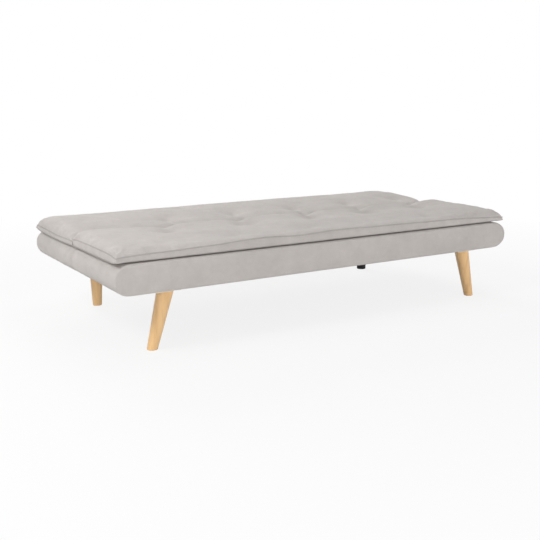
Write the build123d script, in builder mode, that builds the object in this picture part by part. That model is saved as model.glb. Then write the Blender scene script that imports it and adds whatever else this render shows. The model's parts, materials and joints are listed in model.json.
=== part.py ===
"""Click-clack sofa bed, lying flat as a bed: two upholstered halves joined by ratchet hinges.

Frame: +X along the length, the front faces -Y, +Z is up.
The origin is on the floor under the middle of the bed's footprint.
"""
from build123d import *
import os
from math import cos, radians, sin, tan

os.makedirs("parts", exist_ok=True)

# ---- overall form ----
LENGTH = 1800.0            # end to end
SEAT_DEPTH = 445.0         # front face to the crease
BACK_DEPTH = 439.0         # crease to the far edge
UNDERSIDE = 211.0          # floor to the underside of both halves
BASE_HEIGHT = 111.0        # upholstered base of each half
TOPPER_HEIGHT = 58.0       # pillow top at its crown
TOPPER_EDGE = 28.0         # height of its boxing band
FABRIC = 1.5               # cover cloth with its lining
CREASE_GAP = 2.0           # between the two covers at the crease

# ---- rounding of the base ----
END_FLAT = 11.0            # upright part of the rounded ends
SEAM_RADIUS = 6.0          # sewn edges of the front panel
CREASE_RADIUS = 20.0       # upper edges that roll together at the crease
FAR_TOP_RADIUS = 35.0
FAR_LOW_RADIUS = 20.0

# ---- rounding of the topper ----
CROWN_RUN = 100.0          # from the band to the full crown
END_CROWN = 3.0            # further rise from the ends to the middle
SIDE_CROWN = 5.0           # the side arcs aim this far above the crown
ROLL_RUN = 60.0            # crown to the crease wall
ROLL_DROP = 30.0           # height of that roll
CREASE_FOOT = 13.0         # topper's foot to the crease line

# ---- timber frame ----
RAIL_THICK = 20.0
RAIL_DEPTH_IN = 39.5       # base top down to the rails
RAIL_WRAP = 6.0            # foam in front of the rails
END_INSET = 55.0           # end of the base to the seat's end rail
CREASE_RAIL_SETBACK = 86.0  # crease to the near face of the crease rails
BAYS = 3                   # the cross rails part the frame into these
LEG_BOARD_WIDTH = 110.0
LEG_BOARD_THICK = 20.0
FLANGE = 34.0              # cover cloth turned under the frame

# ---- webbing ----
STRAP_COUNT = 7
STRAP_WIDTH = 50.0
STRAP_THICK = 1.5

# ---- legs ----
FOOT_RADIUS = 19.0
LEG_TAPER = 0.0503         # radius gained for each millimetre of height
LEG_SPLAY = 14.9           # front legs, outwards, degrees
FOOT_ROUND = 2.5
FRONT_FOOT_INSET = 143.0   # end of the bed to the foot's centre
FRONT_FOOT_SETBACK = 47.0  # front face to the foot's centre
REAR_FOOT_INSET = 201.0
REAR_FOOT_SETBACK = 142.0  # far edge to the foot's centre
PLATE_THICK = 2.5
PLATE_WIDTH = 104.0        # along the length
PLATE_DEPTH = 66.0
PLATE_CORNER = 12.0
PLATE_HOLE_PITCH_X = 84.0
PLATE_HOLE_PITCH_Y = 46.0
BOLT_RADIUS = 4.0
BOLT_IN_LEG = 38.0
BOLT_ABOVE_PLATE = 17.0
BOLT_HEAD_RADIUS = 7.5
BOLT_HEAD = 5.3
HOLE_CLEARANCE = 0.4       # radial, round the bolts
END_GAP = 1.0              # bolt and screw ends to the bottom of their holes
CAP_WALL = 1.6
CAP_HEIGHT = 22.0
CAP_FLOOR = 2.0
CAP_FIT = 0.1

# ---- steel support under the base ----
TUBE_WIDTH = 30.0
TUBE_HEIGHT = 20.0
TUBE_WALL = 2.0
TUBE_CORNER = 3.0
SUPPORT_DROP = 11.0        # base underside to the top of the tubes
SUPPORT_START = 150.0      # front face to the front end of the side tubes
PLUG_FACE = 2.0
PLUG_DEPTH = 14.0
SHORT_PLUG_DEPTH = 7.0     # beside the rear legs' bolts
PLUG_FIT = 0.1
SPACER_RADIUS = 11.0
SPACER_FRONT = 25.0        # from the side tube's front end
SPACER_PITCH = 200.0
BUFFER_RADIUS = 12.0
BUFFER_TAPER = 2.0         # radius lost from foot to tip
BUFFER_INSET = 379.0       # rear foot to the buffer beside it
REST_GAP = 0.3             # buffers to the flat backrest

# ---- ratchet hinge ----
PIVOT_DROP = 14.0          # base top down to the hinge axis
HINGE_PLATE = 4.0
HINGE_SIDE_GAP = 0.5       # between the leaves
LUG_RADIUS = 13.0
PIN_RADIUS = 5.0
PIN_FIT = 0.05             # radial running clearance
PIN_HEAD_RADIUS = 8.0
PIN_PEEN_RADIUS = 7.0      # outer end, hammered over
PIN_HEAD = 2.5
PIN_SIDE_GAP = 0.3         # under the inner head
ARM_REACH = 140.0          # crease to the last arm centre
ARM_MIDDLE = 60.0
ARM_DROP = 52.0
ARM_MIDDLE_RADIUS = 24.0
ARM_END_RADIUS = 20.0
SECTOR_RADIUS = 38.0
SECTOR_LEAD = 12.0         # rim beyond the last notch, degrees
SECTOR_TAIL = 18.0         # rim beyond the first notch, degrees
NOTCH_DEPTH = 5.5
NOTCH_WIDTH = 7.0
NOTCH_BEVEL = 1.0          # notch and tooth narrow by this on each side
NOTCH_RAMP = 3.0           # the sloping wall leans out by this
NOTCH_OVERCUT = 3.0        # cut beyond the rim
STEP_ANGLE = 25.0          # between two backrest positions
STEPS = 3
PAWL_ANGLE = 262.0         # where the pawl meets the sector, from +Y, degrees
PAWL_LENGTH = 48.0
PAWL_THROW = 7.0           # degrees from lifted to engaged
PAWL_FIT = 0.45
PAWL_BOSS = 8.0
PAWL_NOSE = (0.6, 7.0)     # lever at its nose: inner and outer face, from the rim
PAWL_NOSE_OVERHANG = 1.0
PAWL_HUMP = (12.0, -14.0)  # from the rim, then from the tooth's middle
PAWL_BELLY = (4.0, -26.0)
PAWL_HEEL = (1.2, -2.4)    # from the rim, then from the tooth's flank
PAWL_TAIL = (7.5, -3.0)    # outer and inner face beside the boss
PAWL_TAIL_RUN = 6.0
PAWL_PIN_RADIUS = 3.0
PAWL_PIN_HEAD_RADIUS = 5.0
SLOT_SIDE = 8.0            # cloth slot beyond the leaves, each side
SLOT_REACH = 16.0
SLOT_DROP = 68.0

# ---- screws ----
SCREW_RADIUS = 2.4
SCREW_FIT = 0.2
SCREW_HEAD_RADIUS = 4.6
SCREW_HEAD = 1.6
SCREW_LENGTH = 14.0
LEAF_SCREW_REACH = (66.0, 118.0, 146.0)   # crease to each screw of a leaf
LEAF_SCREW_DROP = 56.0                    # pivot down to those screws

# ---- places worked out from the sizes ----
FRONT_Y = -(SEAT_DEPTH + BACK_DEPTH) / 2
CREASE_Y = FRONT_Y + SEAT_DEPTH
FAR_Y = CREASE_Y + BACK_DEPTH
BASE_TOP = UNDERSIDE + BASE_HEIGHT
CROWN_Z = BASE_TOP + TOPPER_HEIGHT
BAND_Z = BASE_TOP + TOPPER_EDGE
RAIL_BOTTOM = UNDERSIDE + FABRIC
RAIL_TOP = BASE_TOP - RAIL_DEPTH_IN
END_RADIUS = (BASE_HEIGHT - END_FLAT) / 2
FOAM_BOTTOM = RAIL_TOP + STRAP_THICK
PIVOT_Z = BASE_TOP - PIVOT_DROP
SEAT_RAIL_OUT = LENGTH / 2 - END_INSET
SEAT_RAIL_IN = SEAT_RAIL_OUT - RAIL_THICK
OPENING_X = SEAT_RAIL_OUT - FLANGE
CROSS_RAIL_SPACING = 2 * SEAT_RAIL_IN / BAYS
STRAP_SPACING = 2 * SEAT_RAIL_IN / STRAP_COUNT
SEAT_LEAF_IN = SEAT_RAIL_IN - HINGE_PLATE
BACK_RAIL_IN = SEAT_LEAF_IN - HINGE_SIDE_GAP
BACK_RAIL_OUT = BACK_RAIL_IN + RAIL_THICK
BACK_LEAF_IN = BACK_RAIL_IN - HINGE_PLATE
SLOT_X0 = BACK_LEAF_IN - SLOT_SIDE / 2
SLOT_X1 = SEAT_RAIL_IN + SLOT_SIDE / 2
TUBE_TOP = UNDERSIDE - SUPPORT_DROP
TUBE_BOTTOM = TUBE_TOP - TUBE_HEIGHT
TUBE_MIDDLE_Z = TUBE_BOTTOM + TUBE_HEIGHT / 2
FRONT_LEG_TOP = UNDERSIDE - PLATE_THICK
REAR_LEG_TOP = TUBE_BOTTOM - PLATE_THICK
FRONT_FOOT_Y = FRONT_Y + FRONT_FOOT_SETBACK
REAR_FOOT_Y = FAR_Y - REAR_FOOT_SETBACK
FRONT_FOOT_X = LENGTH / 2 - FRONT_FOOT_INSET
REAR_FOOT_X = LENGTH / 2 - REAR_FOOT_INSET
BUFFER_SPACING = 2 * (REAR_FOOT_X - BUFFER_INSET)
FRONT_LEG_X = FRONT_FOOT_X - UNDERSIDE * tan(radians(LEG_SPLAY))
FRONT_LEG_REACH = FRONT_LEG_TOP / cos(radians(LEG_SPLAY))   # floor to plate along the leg
SUPPORT_Y0 = FRONT_Y + SUPPORT_START
CROSSBAR_Y0 = REAR_FOOT_Y - TUBE_WIDTH / 2
CROSSBAR_REACH = REAR_FOOT_X + TUBE_WIDTH / 2
PAWL_Y = CREASE_Y + SECTOR_RADIUS * cos(radians(PAWL_ANGLE)) + PAWL_LENGTH * sin(radians(PAWL_ANGLE))
PAWL_Z = PIVOT_Z + SECTOR_RADIUS * sin(radians(PAWL_ANGLE)) - PAWL_LENGTH * cos(radians(PAWL_ANGLE))


def finish(piece, name):
    """Label a piece and write it as its own STEP file."""
    piece.part.label = name
    export_step(piece.part, f"parts/{name}.step")
    return piece


def end_plane(x):
    """A plane square to the length at x: its own axes are +Y and +Z."""
    return Plane(origin=(x, 0, 0), x_dir=(0, 1, 0), z_dir=(1, 0, 0))


def box_between(x0, x1, y0, y1, z0, z1, mode=Mode.ADD):
    """A block given by its limits."""
    with Locations(((x0 + x1) / 2, (y0 + y1) / 2, (z0 + z1) / 2)):
        Box(abs(x1 - x0), abs(y1 - y0), abs(z1 - z0), mode=mode)


# ---- upholstered base ----

def half_limits(is_seat):
    """Y limits of one half, up to the crease line."""
    return (FRONT_Y, CREASE_Y) if is_seat else (CREASE_Y, FAR_Y)


def pad_form(is_seat, inset):
    """The rounded body of one half, drawn in by inset on all sides."""
    near = FRONT_Y if is_seat else CREASE_Y + CREASE_GAP / 2
    far = CREASE_Y - CREASE_GAP / 2 if is_seat else FAR_Y
    low, high = UNDERSIDE + inset, BASE_TOP - inset
    near_low, near_high = SEAM_RADIUS, (SEAM_RADIUS if is_seat else CREASE_RADIUS)
    far_low, far_high = (SEAM_RADIUS, CREASE_RADIUS) if is_seat else (FAR_LOW_RADIUS, FAR_TOP_RADIUS)
    corners = (((near + inset, low), near_low), ((near + inset, high), near_high),
               ((far - inset, low), far_low), ((far - inset, high), far_high))
    with BuildPart() as form:
        with BuildSketch(end_plane(-LENGTH / 2 + inset)) as side:
            with Locations(((near + far) / 2, (low + high) / 2)):
                Rectangle(far - near - 2 * inset, high - low)
            for (y, z), radius in corners:
                fillet(side.vertices().sort_by_distance((y, z))[0], radius - inset)
        extrude(amount=LENGTH - 2 * inset)
        with BuildSketch(Plane.XZ.offset(-near)):
            with Locations((0, (low + high) / 2)):
                RectangleRounded(LENGTH - 2 * inset, high - low, END_RADIUS - inset)
        extrude(amount=-(far - near), mode=Mode.INTERSECT)
    return form.part


def hinge_slots(reach, x0, x1, low, high):
    """Openings for the hinge leaves on both sides of the crease, near each end."""
    for side in (-1, 1):
        box_between(side * x0, side * x1, CREASE_Y - reach, CREASE_Y + reach, low, high, Mode.SUBTRACT)


def base_cover(is_seat):
    """Cloth cover, open below where the dust cover closes it, slit for the hinges."""
    near, far = half_limits(is_seat)
    outside, inside = pad_form(is_seat, 0), pad_form(is_seat, FABRIC)
    with BuildPart() as cover:
        add(outside)
        add(inside, mode=Mode.SUBTRACT)
        box_between(-OPENING_X, OPENING_X, near + FLANGE, far - FLANGE,
                    UNDERSIDE, RAIL_BOTTOM, Mode.SUBTRACT)
        hinge_slots(SLOT_REACH, SLOT_X0, SLOT_X1, PIVOT_Z - SLOT_DROP, BASE_TOP)
        if is_seat:
            plate_screw_holes()
    return cover


def dust_cover(is_seat):
    """Sheet that closes the underside inside the turned-under cloth."""
    near, far = half_limits(is_seat)
    with BuildPart() as sheet:
        box_between(-OPENING_X, OPENING_X, near + FLANGE, far - FLANGE, UNDERSIDE, RAIL_BOTTOM)
        if is_seat:
            leg_bolt_holes()
            support_bolt_holes()
            plate_screw_holes()
    return sheet


def foam_pad(is_seat):
    """Foam over the webbing, wrapped down round the outside of the frame."""
    near, far = half_limits(is_seat)
    y0 = near + FABRIC + RAIL_WRAP if is_seat else near
    y1 = far if is_seat else far - FAR_LOW_RADIUS
    frame_x = SEAT_RAIL_OUT if is_seat else BACK_RAIL_OUT
    body = pad_form(is_seat, FABRIC)
    with BuildPart() as pad:
        add(body)
        box_between(-frame_x, frame_x, y0, y1, UNDERSIDE, FOAM_BOTTOM, Mode.SUBTRACT)
        hinge_slots(ARM_REACH, SLOT_X0, SLOT_X1, FOAM_BOTTOM, BASE_TOP)
    return pad


def topper(is_seat):
    """Pillow top with a boxing band, a crowned panel and a rolled edge at the crease."""
    edge = FRONT_Y if is_seat else FAR_Y
    turn = 1 if is_seat else -1
    foot = CREASE_Y - turn * CREASE_FOOT
    wall = CREASE_Y - turn * (PIVOT_DROP + TOPPER_HEIGHT - ROLL_DROP)
    roll = wall - turn * ROLL_RUN
    half = LENGTH / 2
    end_z = CROWN_Z - END_CROWN
    side_z = CROWN_Z + SIDE_CROWN
    with BuildPart() as pillow:
        with BuildSketch(end_plane(-half)):
            with BuildLine():
                Polyline((edge + turn * CROWN_RUN, side_z), (roll, side_z))
                TangentArc((roll, side_z), (wall, CROWN_Z - ROLL_DROP), tangent=(turn, 0))
                Polyline((wall, CROWN_Z - ROLL_DROP), (foot, BASE_TOP), (edge, BASE_TOP), (edge, BAND_Z))
                TangentArc((edge + turn * CROWN_RUN, side_z), (edge, BAND_Z), tangent=(-turn, 0))
            make_face()
        extrude(amount=LENGTH)
        with BuildSketch(Plane.XZ.offset(half)):
            with BuildLine():
                ThreePointArc((CROWN_RUN - half, end_z), (0, CROWN_Z), (half - CROWN_RUN, end_z))
                TangentArc((half - CROWN_RUN, end_z), (half, BAND_Z), tangent=(1, 0))
                Polyline((half, BAND_Z), (half, BASE_TOP), (-half, BASE_TOP), (-half, BAND_Z))
                TangentArc((CROWN_RUN - half, end_z), (-half, BAND_Z), tangent=(-1, 0))
            make_face()
        extrude(amount=-LENGTH, mode=Mode.INTERSECT)
    return pillow


# ---- timber frame of each half ----

def long_rail(half_length, y0):
    """A rail along the length; the one over the front legs is drilled for their plates."""
    with BuildPart() as rail:
        box_between(-half_length, half_length, y0, y0 + RAIL_THICK, RAIL_BOTTOM, RAIL_TOP)
        plate_screw_holes()
    return rail


def end_rails(x_in, y0, y1, crease):
    """The two short rails at the ends, drilled for the hinge screws."""
    with BuildPart() as rails:
        for side in (-1, 1):
            box_between(side * x_in, side * (x_in + RAIL_THICK), y0, y1, RAIL_BOTTOM, RAIL_TOP)
            hinge_screw_holes(side * x_in, side * SCREW_LENGTH, crease)
    return rails


def cross_rails(y0, y1):
    """Short rails that tie the long ones together."""
    with BuildPart() as rails:
        with Locations((0, (y0 + y1) / 2, (RAIL_BOTTOM + RAIL_TOP) / 2)):
            with GridLocations(CROSS_RAIL_SPACING, 1, BAYS - 1, 1):
                Box(RAIL_THICK, y1 - y0, RAIL_TOP - RAIL_BOTTOM)
    return rails


def webbing(y0, y1):
    """Elastic straps stapled across the rails."""
    with BuildPart() as straps:
        with Locations((0, (y0 + y1) / 2, RAIL_TOP + STRAP_THICK / 2)):
            with GridLocations(STRAP_SPACING, 1, STRAP_COUNT, 1):
                Box(STRAP_WIDTH, y1 - y0, STRAP_THICK)
    return straps


def leg_boards(y0, y1):
    """Boards between the rails that take the front legs and the steel support."""
    with BuildPart() as boards:
        for side in (-1, 1):
            x = side * FRONT_LEG_X
            box_between(x - LEG_BOARD_WIDTH / 2, x + LEG_BOARD_WIDTH / 2, y0, y1,
                        RAIL_BOTTOM, RAIL_BOTTOM + LEG_BOARD_THICK)
        leg_bolt_holes()
        support_bolt_holes()
        plate_screw_holes()
    return boards


# ---- legs ----

def leg_axis_plane(side):
    """Plane across a front leg at the floor, its normal along the splayed leg."""
    lean = radians(LEG_SPLAY)
    return Plane(origin=(side * FRONT_FOOT_X, FRONT_FOOT_Y, 0), x_dir=(0, 1, 0),
                 z_dir=(-side * sin(lean), 0, cos(lean)))


def leg_bolt_holes():
    """Slanted holes for the front legs' bolts."""
    for side in (-1, 1):
        with BuildSketch(leg_axis_plane(side)) as hole:
            Circle(BOLT_RADIUS + HOLE_CLEARANCE)
        extrude(hole.sketch, amount=2 * UNDERSIDE, mode=Mode.SUBTRACT)


def front_leg(side):
    """Turned cone, cut level at the floor and under its plate."""
    reach = UNDERSIDE / cos(radians(LEG_SPLAY))
    spare = FOOT_RADIUS
    with BuildPart() as leg:
        with BuildSketch(leg_axis_plane(side).offset(-spare)):
            Circle(FOOT_RADIUS - LEG_TAPER * spare)
        with BuildSketch(leg_axis_plane(side).offset(reach + spare)):
            Circle(FOOT_RADIUS + LEG_TAPER * (reach + spare))
        loft()
        split(bisect_by=Plane.XY, keep=Keep.TOP)
        split(bisect_by=Plane.XY.offset(FRONT_LEG_TOP), keep=Keep.BOTTOM)
        fillet(leg.edges().sort_by(Axis.Z)[0], FOOT_ROUND)
        with BuildSketch(leg_axis_plane(side).offset(FRONT_LEG_REACH - BOLT_IN_LEG)):
            Circle(BOLT_RADIUS + HOLE_CLEARANCE)
        extrude(amount=2 * BOLT_IN_LEG, mode=Mode.SUBTRACT)
    return leg


def rear_leg(side, foot_z):
    """Upright turned cone under the end of the steel support."""
    with BuildPart() as leg:
        with Locations((side * REAR_FOOT_X, REAR_FOOT_Y, foot_z)):
            Cone(FOOT_RADIUS + LEG_TAPER * foot_z, FOOT_RADIUS + LEG_TAPER * REAR_LEG_TOP,
                 REAR_LEG_TOP - foot_z, align=(Align.CENTER, Align.CENTER, Align.MIN))
        fillet(leg.edges().sort_by(Axis.Z)[0], FOOT_ROUND)
        with Locations((side * REAR_FOOT_X, REAR_FOOT_Y, REAR_LEG_TOP)):
            Cylinder(BOLT_RADIUS + HOLE_CLEARANCE, BOLT_IN_LEG,
                     align=(Align.CENTER, Align.CENTER, Align.MAX), mode=Mode.SUBTRACT)
    return leg


def foot_cap(side):
    """Rubber cup pushed over the end of a leg."""
    inner = FOOT_RADIUS + LEG_TAPER * CAP_HEIGHT + CAP_FIT
    with BuildPart() as cap:
        with Locations((side * REAR_FOOT_X, REAR_FOOT_Y, 0)):
            Cylinder(inner + CAP_WALL, CAP_HEIGHT, align=(Align.CENTER, Align.CENTER, Align.MIN))
        fillet(cap.edges().filter_by(GeomType.CIRCLE).sort_by(Axis.Z)[0], CAP_FLOOR)
        with Locations((side * REAR_FOOT_X, REAR_FOOT_Y, CAP_FLOOR)):
            Cylinder(inner, CAP_HEIGHT, align=(Align.CENTER, Align.CENTER, Align.MIN), mode=Mode.SUBTRACT)
    return cap


def front_plates():
    """Flat steel plates between the front legs and the leg boards."""
    with BuildPart() as plates:
        with BuildSketch(Plane.XY.offset(FRONT_LEG_TOP)):
            with Locations((-FRONT_LEG_X, FRONT_FOOT_Y), (FRONT_LEG_X, FRONT_FOOT_Y)):
                RectangleRounded(PLATE_WIDTH, PLATE_DEPTH, PLATE_CORNER)
        extrude(amount=PLATE_THICK)
        leg_bolt_holes()
        plate_screw_holes()
    return plates


def plate_screw_places():
    """Corners of both front plates."""
    half_x, half_y = PLATE_HOLE_PITCH_X / 2, PLATE_HOLE_PITCH_Y / 2
    return [(side * FRONT_LEG_X + dx, FRONT_FOOT_Y + dy)
            for side in (-1, 1) for dx in (-half_x, half_x) for dy in (-half_y, half_y)]


def plate_screw_holes():
    """Clearance holes for the screws of the front plates."""
    with BuildSketch(Plane.XY.offset(FRONT_LEG_TOP)) as holes:
        with Locations(*plate_screw_places()):
            Circle(SCREW_RADIUS + SCREW_FIT)
    extrude(holes.sketch, amount=PLATE_THICK + FABRIC + SCREW_LENGTH, mode=Mode.SUBTRACT)


def plate_screws():
    """Pan-head screws that hold the front plates."""
    with BuildPart() as screws:
        with BuildSketch(Plane.XY.offset(FRONT_LEG_TOP)):
            with Locations(*plate_screw_places()):
                Circle(SCREW_RADIUS)
        extrude(amount=PLATE_THICK + FABRIC + SCREW_LENGTH - END_GAP)
        with BuildSketch(Plane.XY.offset(FRONT_LEG_TOP)):
            with Locations(*plate_screw_places()):
                Circle(SCREW_HEAD_RADIUS)
        extrude(amount=-SCREW_HEAD)
    return screws


def rear_plates():
    """Steel plates welded under the corners of the support."""
    with BuildPart() as plates:
        with BuildSketch(Plane.XY.offset(REAR_LEG_TOP)):
            with Locations((-REAR_FOOT_X, REAR_FOOT_Y), (REAR_FOOT_X, REAR_FOOT_Y)):
                RectangleRounded(PLATE_WIDTH, PLATE_DEPTH, PLATE_CORNER)
                Circle(BOLT_RADIUS + HOLE_CLEARANCE, mode=Mode.SUBTRACT)
        extrude(amount=PLATE_THICK)
    return plates


def leg_bolts():
    """Threaded rods from each leg up into what carries it."""
    in_leg = BOLT_IN_LEG - END_GAP
    with BuildPart() as bolts:
        for side in (-1, 1):
            with BuildSketch(leg_axis_plane(side).offset(FRONT_LEG_REACH - in_leg)):
                Circle(BOLT_RADIUS)
            extrude(amount=in_leg + PLATE_THICK + BOLT_ABOVE_PLATE)
            with Locations((side * REAR_FOOT_X, REAR_FOOT_Y, REAR_LEG_TOP - in_leg)):
                Cylinder(BOLT_RADIUS, in_leg + PLATE_THICK + TUBE_HEIGHT - TUBE_WALL - END_GAP,
                         align=(Align.CENTER, Align.CENTER, Align.MIN))
    return bolts


# ---- steel support ----

def tube_section():
    """Hollow section of a rectangular tube."""
    RectangleRounded(TUBE_WIDTH, TUBE_HEIGHT, TUBE_CORNER)
    RectangleRounded(TUBE_WIDTH - 2 * TUBE_WALL, TUBE_HEIGHT - 2 * TUBE_WALL,
                     TUBE_CORNER - TUBE_WALL, mode=Mode.SUBTRACT)


def side_tube_end(side):
    """Plane at the front end of a side tube, its normal into the tube."""
    return Plane(origin=(side * REAR_FOOT_X, SUPPORT_Y0, TUBE_MIDDLE_Z), x_dir=(1, 0, 0), z_dir=(0, 1, 0))


def crossbar_end(side):
    """Plane at one end of the crossbar, its normal into the tube."""
    return Plane(origin=(side * CROSSBAR_REACH, REAR_FOOT_Y, TUBE_MIDDLE_Z),
                 x_dir=(0, 1, 0), z_dir=(-side, 0, 0))


def side_tube(side):
    """Tube from under the seat to the crossbar, drilled for its bolts."""
    with BuildPart() as tube:
        with BuildSketch(side_tube_end(side)):
            tube_section()
        extrude(amount=CROSSBAR_Y0 - SUPPORT_Y0)
        support_bolt_holes()
    return tube


def crossbar():
    """Tube across the rear legs, which the flat backrest lies on."""
    with BuildPart() as tube:
        with BuildSketch(crossbar_end(-1)):
            tube_section()
        extrude(amount=2 * CROSSBAR_REACH)
        with Locations((-REAR_FOOT_X, REAR_FOOT_Y, TUBE_BOTTOM), (REAR_FOOT_X, REAR_FOOT_Y, TUBE_BOTTOM)):
            Cylinder(BOLT_RADIUS + HOLE_CLEARANCE, TUBE_HEIGHT, mode=Mode.SUBTRACT)
    return tube


def tube_plug(plane, depth):
    """Moulded plug pushed into a tube end."""
    with BuildSketch(plane) as face:
        RectangleRounded(TUBE_WIDTH, TUBE_HEIGHT, TUBE_CORNER)
    extrude(face.sketch, amount=-PLUG_FACE)
    spare = 2 * (TUBE_WALL + PLUG_FIT)
    with BuildSketch(plane) as stem:
        RectangleRounded(TUBE_WIDTH - spare, TUBE_HEIGHT - spare, TUBE_CORNER - TUBE_WALL)
    extrude(stem.sketch, amount=depth)


def tube_plugs():
    """Plugs in the four open tube ends."""
    with BuildPart() as plugs:
        for side in (-1, 1):
            tube_plug(side_tube_end(side), PLUG_DEPTH)
            tube_plug(crossbar_end(side), SHORT_PLUG_DEPTH)
    return plugs


def support_bolt_places():
    """Two bolts through each side tube."""
    front = SUPPORT_Y0 + SPACER_FRONT
    return [(side * REAR_FOOT_X, y) for side in (-1, 1) for y in (front, front + SPACER_PITCH)]


def support_bolt_holes():
    """Clearance holes for the support's bolts."""
    with BuildSketch(Plane.XY.offset(TUBE_BOTTOM)) as holes:
        with Locations(*support_bolt_places()):
            Circle(BOLT_RADIUS + HOLE_CLEARANCE)
    extrude(holes.sketch, amount=BASE_HEIGHT, mode=Mode.SUBTRACT)


def support_bolts():
    """Hex-head bolts up through tube, spacer and leg board."""
    with BuildPart() as bolts:
        with BuildSketch(Plane.XY.offset(TUBE_BOTTOM)):
            with Locations(*support_bolt_places()):
                Circle(BOLT_RADIUS)
        extrude(amount=RAIL_BOTTOM + LEG_BOARD_THICK - TUBE_BOTTOM)
        with BuildSketch(Plane.XY.offset(TUBE_BOTTOM)):
            with Locations(*support_bolt_places()):
                RegularPolygon(BOLT_HEAD_RADIUS, 6)
        extrude(amount=-BOLT_HEAD)
    return bolts


def spacers():
    """Steel bushes that hold the tubes clear of the base."""
    with BuildPart() as bushes:
        with BuildSketch(Plane.XY.offset(TUBE_TOP)):
            with Locations(*support_bolt_places()):
                Circle(SPACER_RADIUS)
                Circle(BOLT_RADIUS + HOLE_CLEARANCE, mode=Mode.SUBTRACT)
        extrude(amount=SUPPORT_DROP)
    return bushes


def buffers():
    """Rubber buffers on the crossbar that carry the flat backrest."""
    with BuildPart() as pads:
        with Locations((0, REAR_FOOT_Y, TUBE_TOP)):
            with GridLocations(BUFFER_SPACING, 1, 2, 1):
                Cone(BUFFER_RADIUS, BUFFER_RADIUS - BUFFER_TAPER, SUPPORT_DROP - REST_GAP,
                     align=(Align.CENTER, Align.CENTER, Align.MIN))
    return pads


# ---- ratchet hinge ----

def hinge_screw_spots(crease):
    """Screw centres on a leaf; crease is -1 on the seat's side and 1 on the backrest's."""
    return [(CREASE_Y + crease * reach, PIVOT_Z - LEAF_SCREW_DROP) for reach in LEAF_SCREW_REACH]


def hinge_screw_holes(x, depth, crease):
    """Clearance holes for the screws of one leaf."""
    with BuildSketch(end_plane(x)) as holes:
        with Locations(*hinge_screw_spots(crease)):
            Circle(SCREW_RADIUS + SCREW_FIT)
    extrude(holes.sketch, amount=depth, mode=Mode.SUBTRACT)


def arm_sketch(crease):
    """Tapered arm from the pivot to its screws."""
    with Locations((CREASE_Y, PIVOT_Z)):
        Circle(LUG_RADIUS)
    with Locations((CREASE_Y + crease * ARM_MIDDLE, PIVOT_Z - ARM_DROP)):
        Circle(ARM_MIDDLE_RADIUS)
    with Locations((CREASE_Y + crease * ARM_REACH, PIVOT_Z - ARM_DROP)):
        Circle(ARM_END_RADIUS)
    make_hull()


def seat_leaf(side):
    """Fixed leaf on the inside of the seat's end rail; it carries the pin and the pawl."""
    with BuildPart() as leaf:
        with BuildSketch(end_plane(side * SEAT_LEAF_IN)):
            arm_sketch(-1)
            with Locations((CREASE_Y, PIVOT_Z)):
                Circle(PIN_RADIUS, mode=Mode.SUBTRACT)
            with Locations((PAWL_Y, PAWL_Z)):
                Circle(PAWL_PIN_RADIUS, mode=Mode.SUBTRACT)
        extrude(amount=side * HINGE_PLATE)
        hinge_screw_holes(side * SEAT_LEAF_IN, side * HINGE_PLATE, -1)
    return leaf


def notched_sector():
    """Sector round the pivot with a notch for each backrest position.

    Each notch has one steep wall, one ramp and a flat floor.
    """
    span = STEPS * STEP_ANGLE
    floor = SECTOR_RADIUS - NOTCH_DEPTH
    over = SECTOR_RADIUS + NOTCH_OVERCUT
    half = NOTCH_WIDTH / 2
    with BuildSketch() as sector:
        with BuildLine():
            rim = CenterArc((0, 0), SECTOR_RADIUS, PAWL_ANGLE - span - SECTOR_LEAD,
                            span + SECTOR_LEAD + SECTOR_TAIL)
            Line(rim @ 1, (0, 0))
            Line((0, 0), rim @ 0)
        make_face()
        with PolarLocations(0, STEPS + 1, PAWL_ANGLE - span, span, endpoint=True):
            Polygon((over, -half - NOTCH_RAMP), (floor, -half + NOTCH_BEVEL), (floor, half - NOTCH_BEVEL),
                    (over, half), align=None, mode=Mode.SUBTRACT)
    return sector.sketch


def ratchet_leaf(side):
    """Moving leaf on the backrest's end rail, with the notched sector round the pivot."""
    sector = notched_sector()
    with BuildPart() as leaf:
        with BuildSketch(end_plane(side * BACK_LEAF_IN)):
            arm_sketch(1)
            with Locations((CREASE_Y, PIVOT_Z)):
                add(sector)
                Circle(PIN_RADIUS + PIN_FIT, mode=Mode.SUBTRACT)
        extrude(amount=side * HINGE_PLATE)
        hinge_screw_holes(side * BACK_LEAF_IN, side * HINGE_PLATE, 1)
    return leaf


def pawl_outline():
    """Corners of the pawl, seen from its pivot along the sector's direction."""
    aim = radians(PAWL_ANGLE)
    out = Vector(cos(aim), sin(aim))
    along = Vector(-sin(aim), cos(aim))
    half = NOTCH_WIDTH / 2 - PAWL_FIT
    root = PAWL_FIT - NOTCH_DEPTH
    corners = ((root, NOTCH_BEVEL - half), (root, half - NOTCH_BEVEL),
               (PAWL_NOSE[0], half), (PAWL_NOSE[1], half + PAWL_NOSE_OVERHANG),
               PAWL_HUMP, (PAWL_TAIL[0], -PAWL_LENGTH), (PAWL_TAIL[1], PAWL_TAIL_RUN - PAWL_LENGTH),
               PAWL_BELLY, (PAWL_HEEL[0], PAWL_HEEL[1] - half))
    spots = [out * radial + along * (PAWL_LENGTH + forward) for radial, forward in corners]
    return [(spot.X, spot.Y) for spot in spots]


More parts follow.
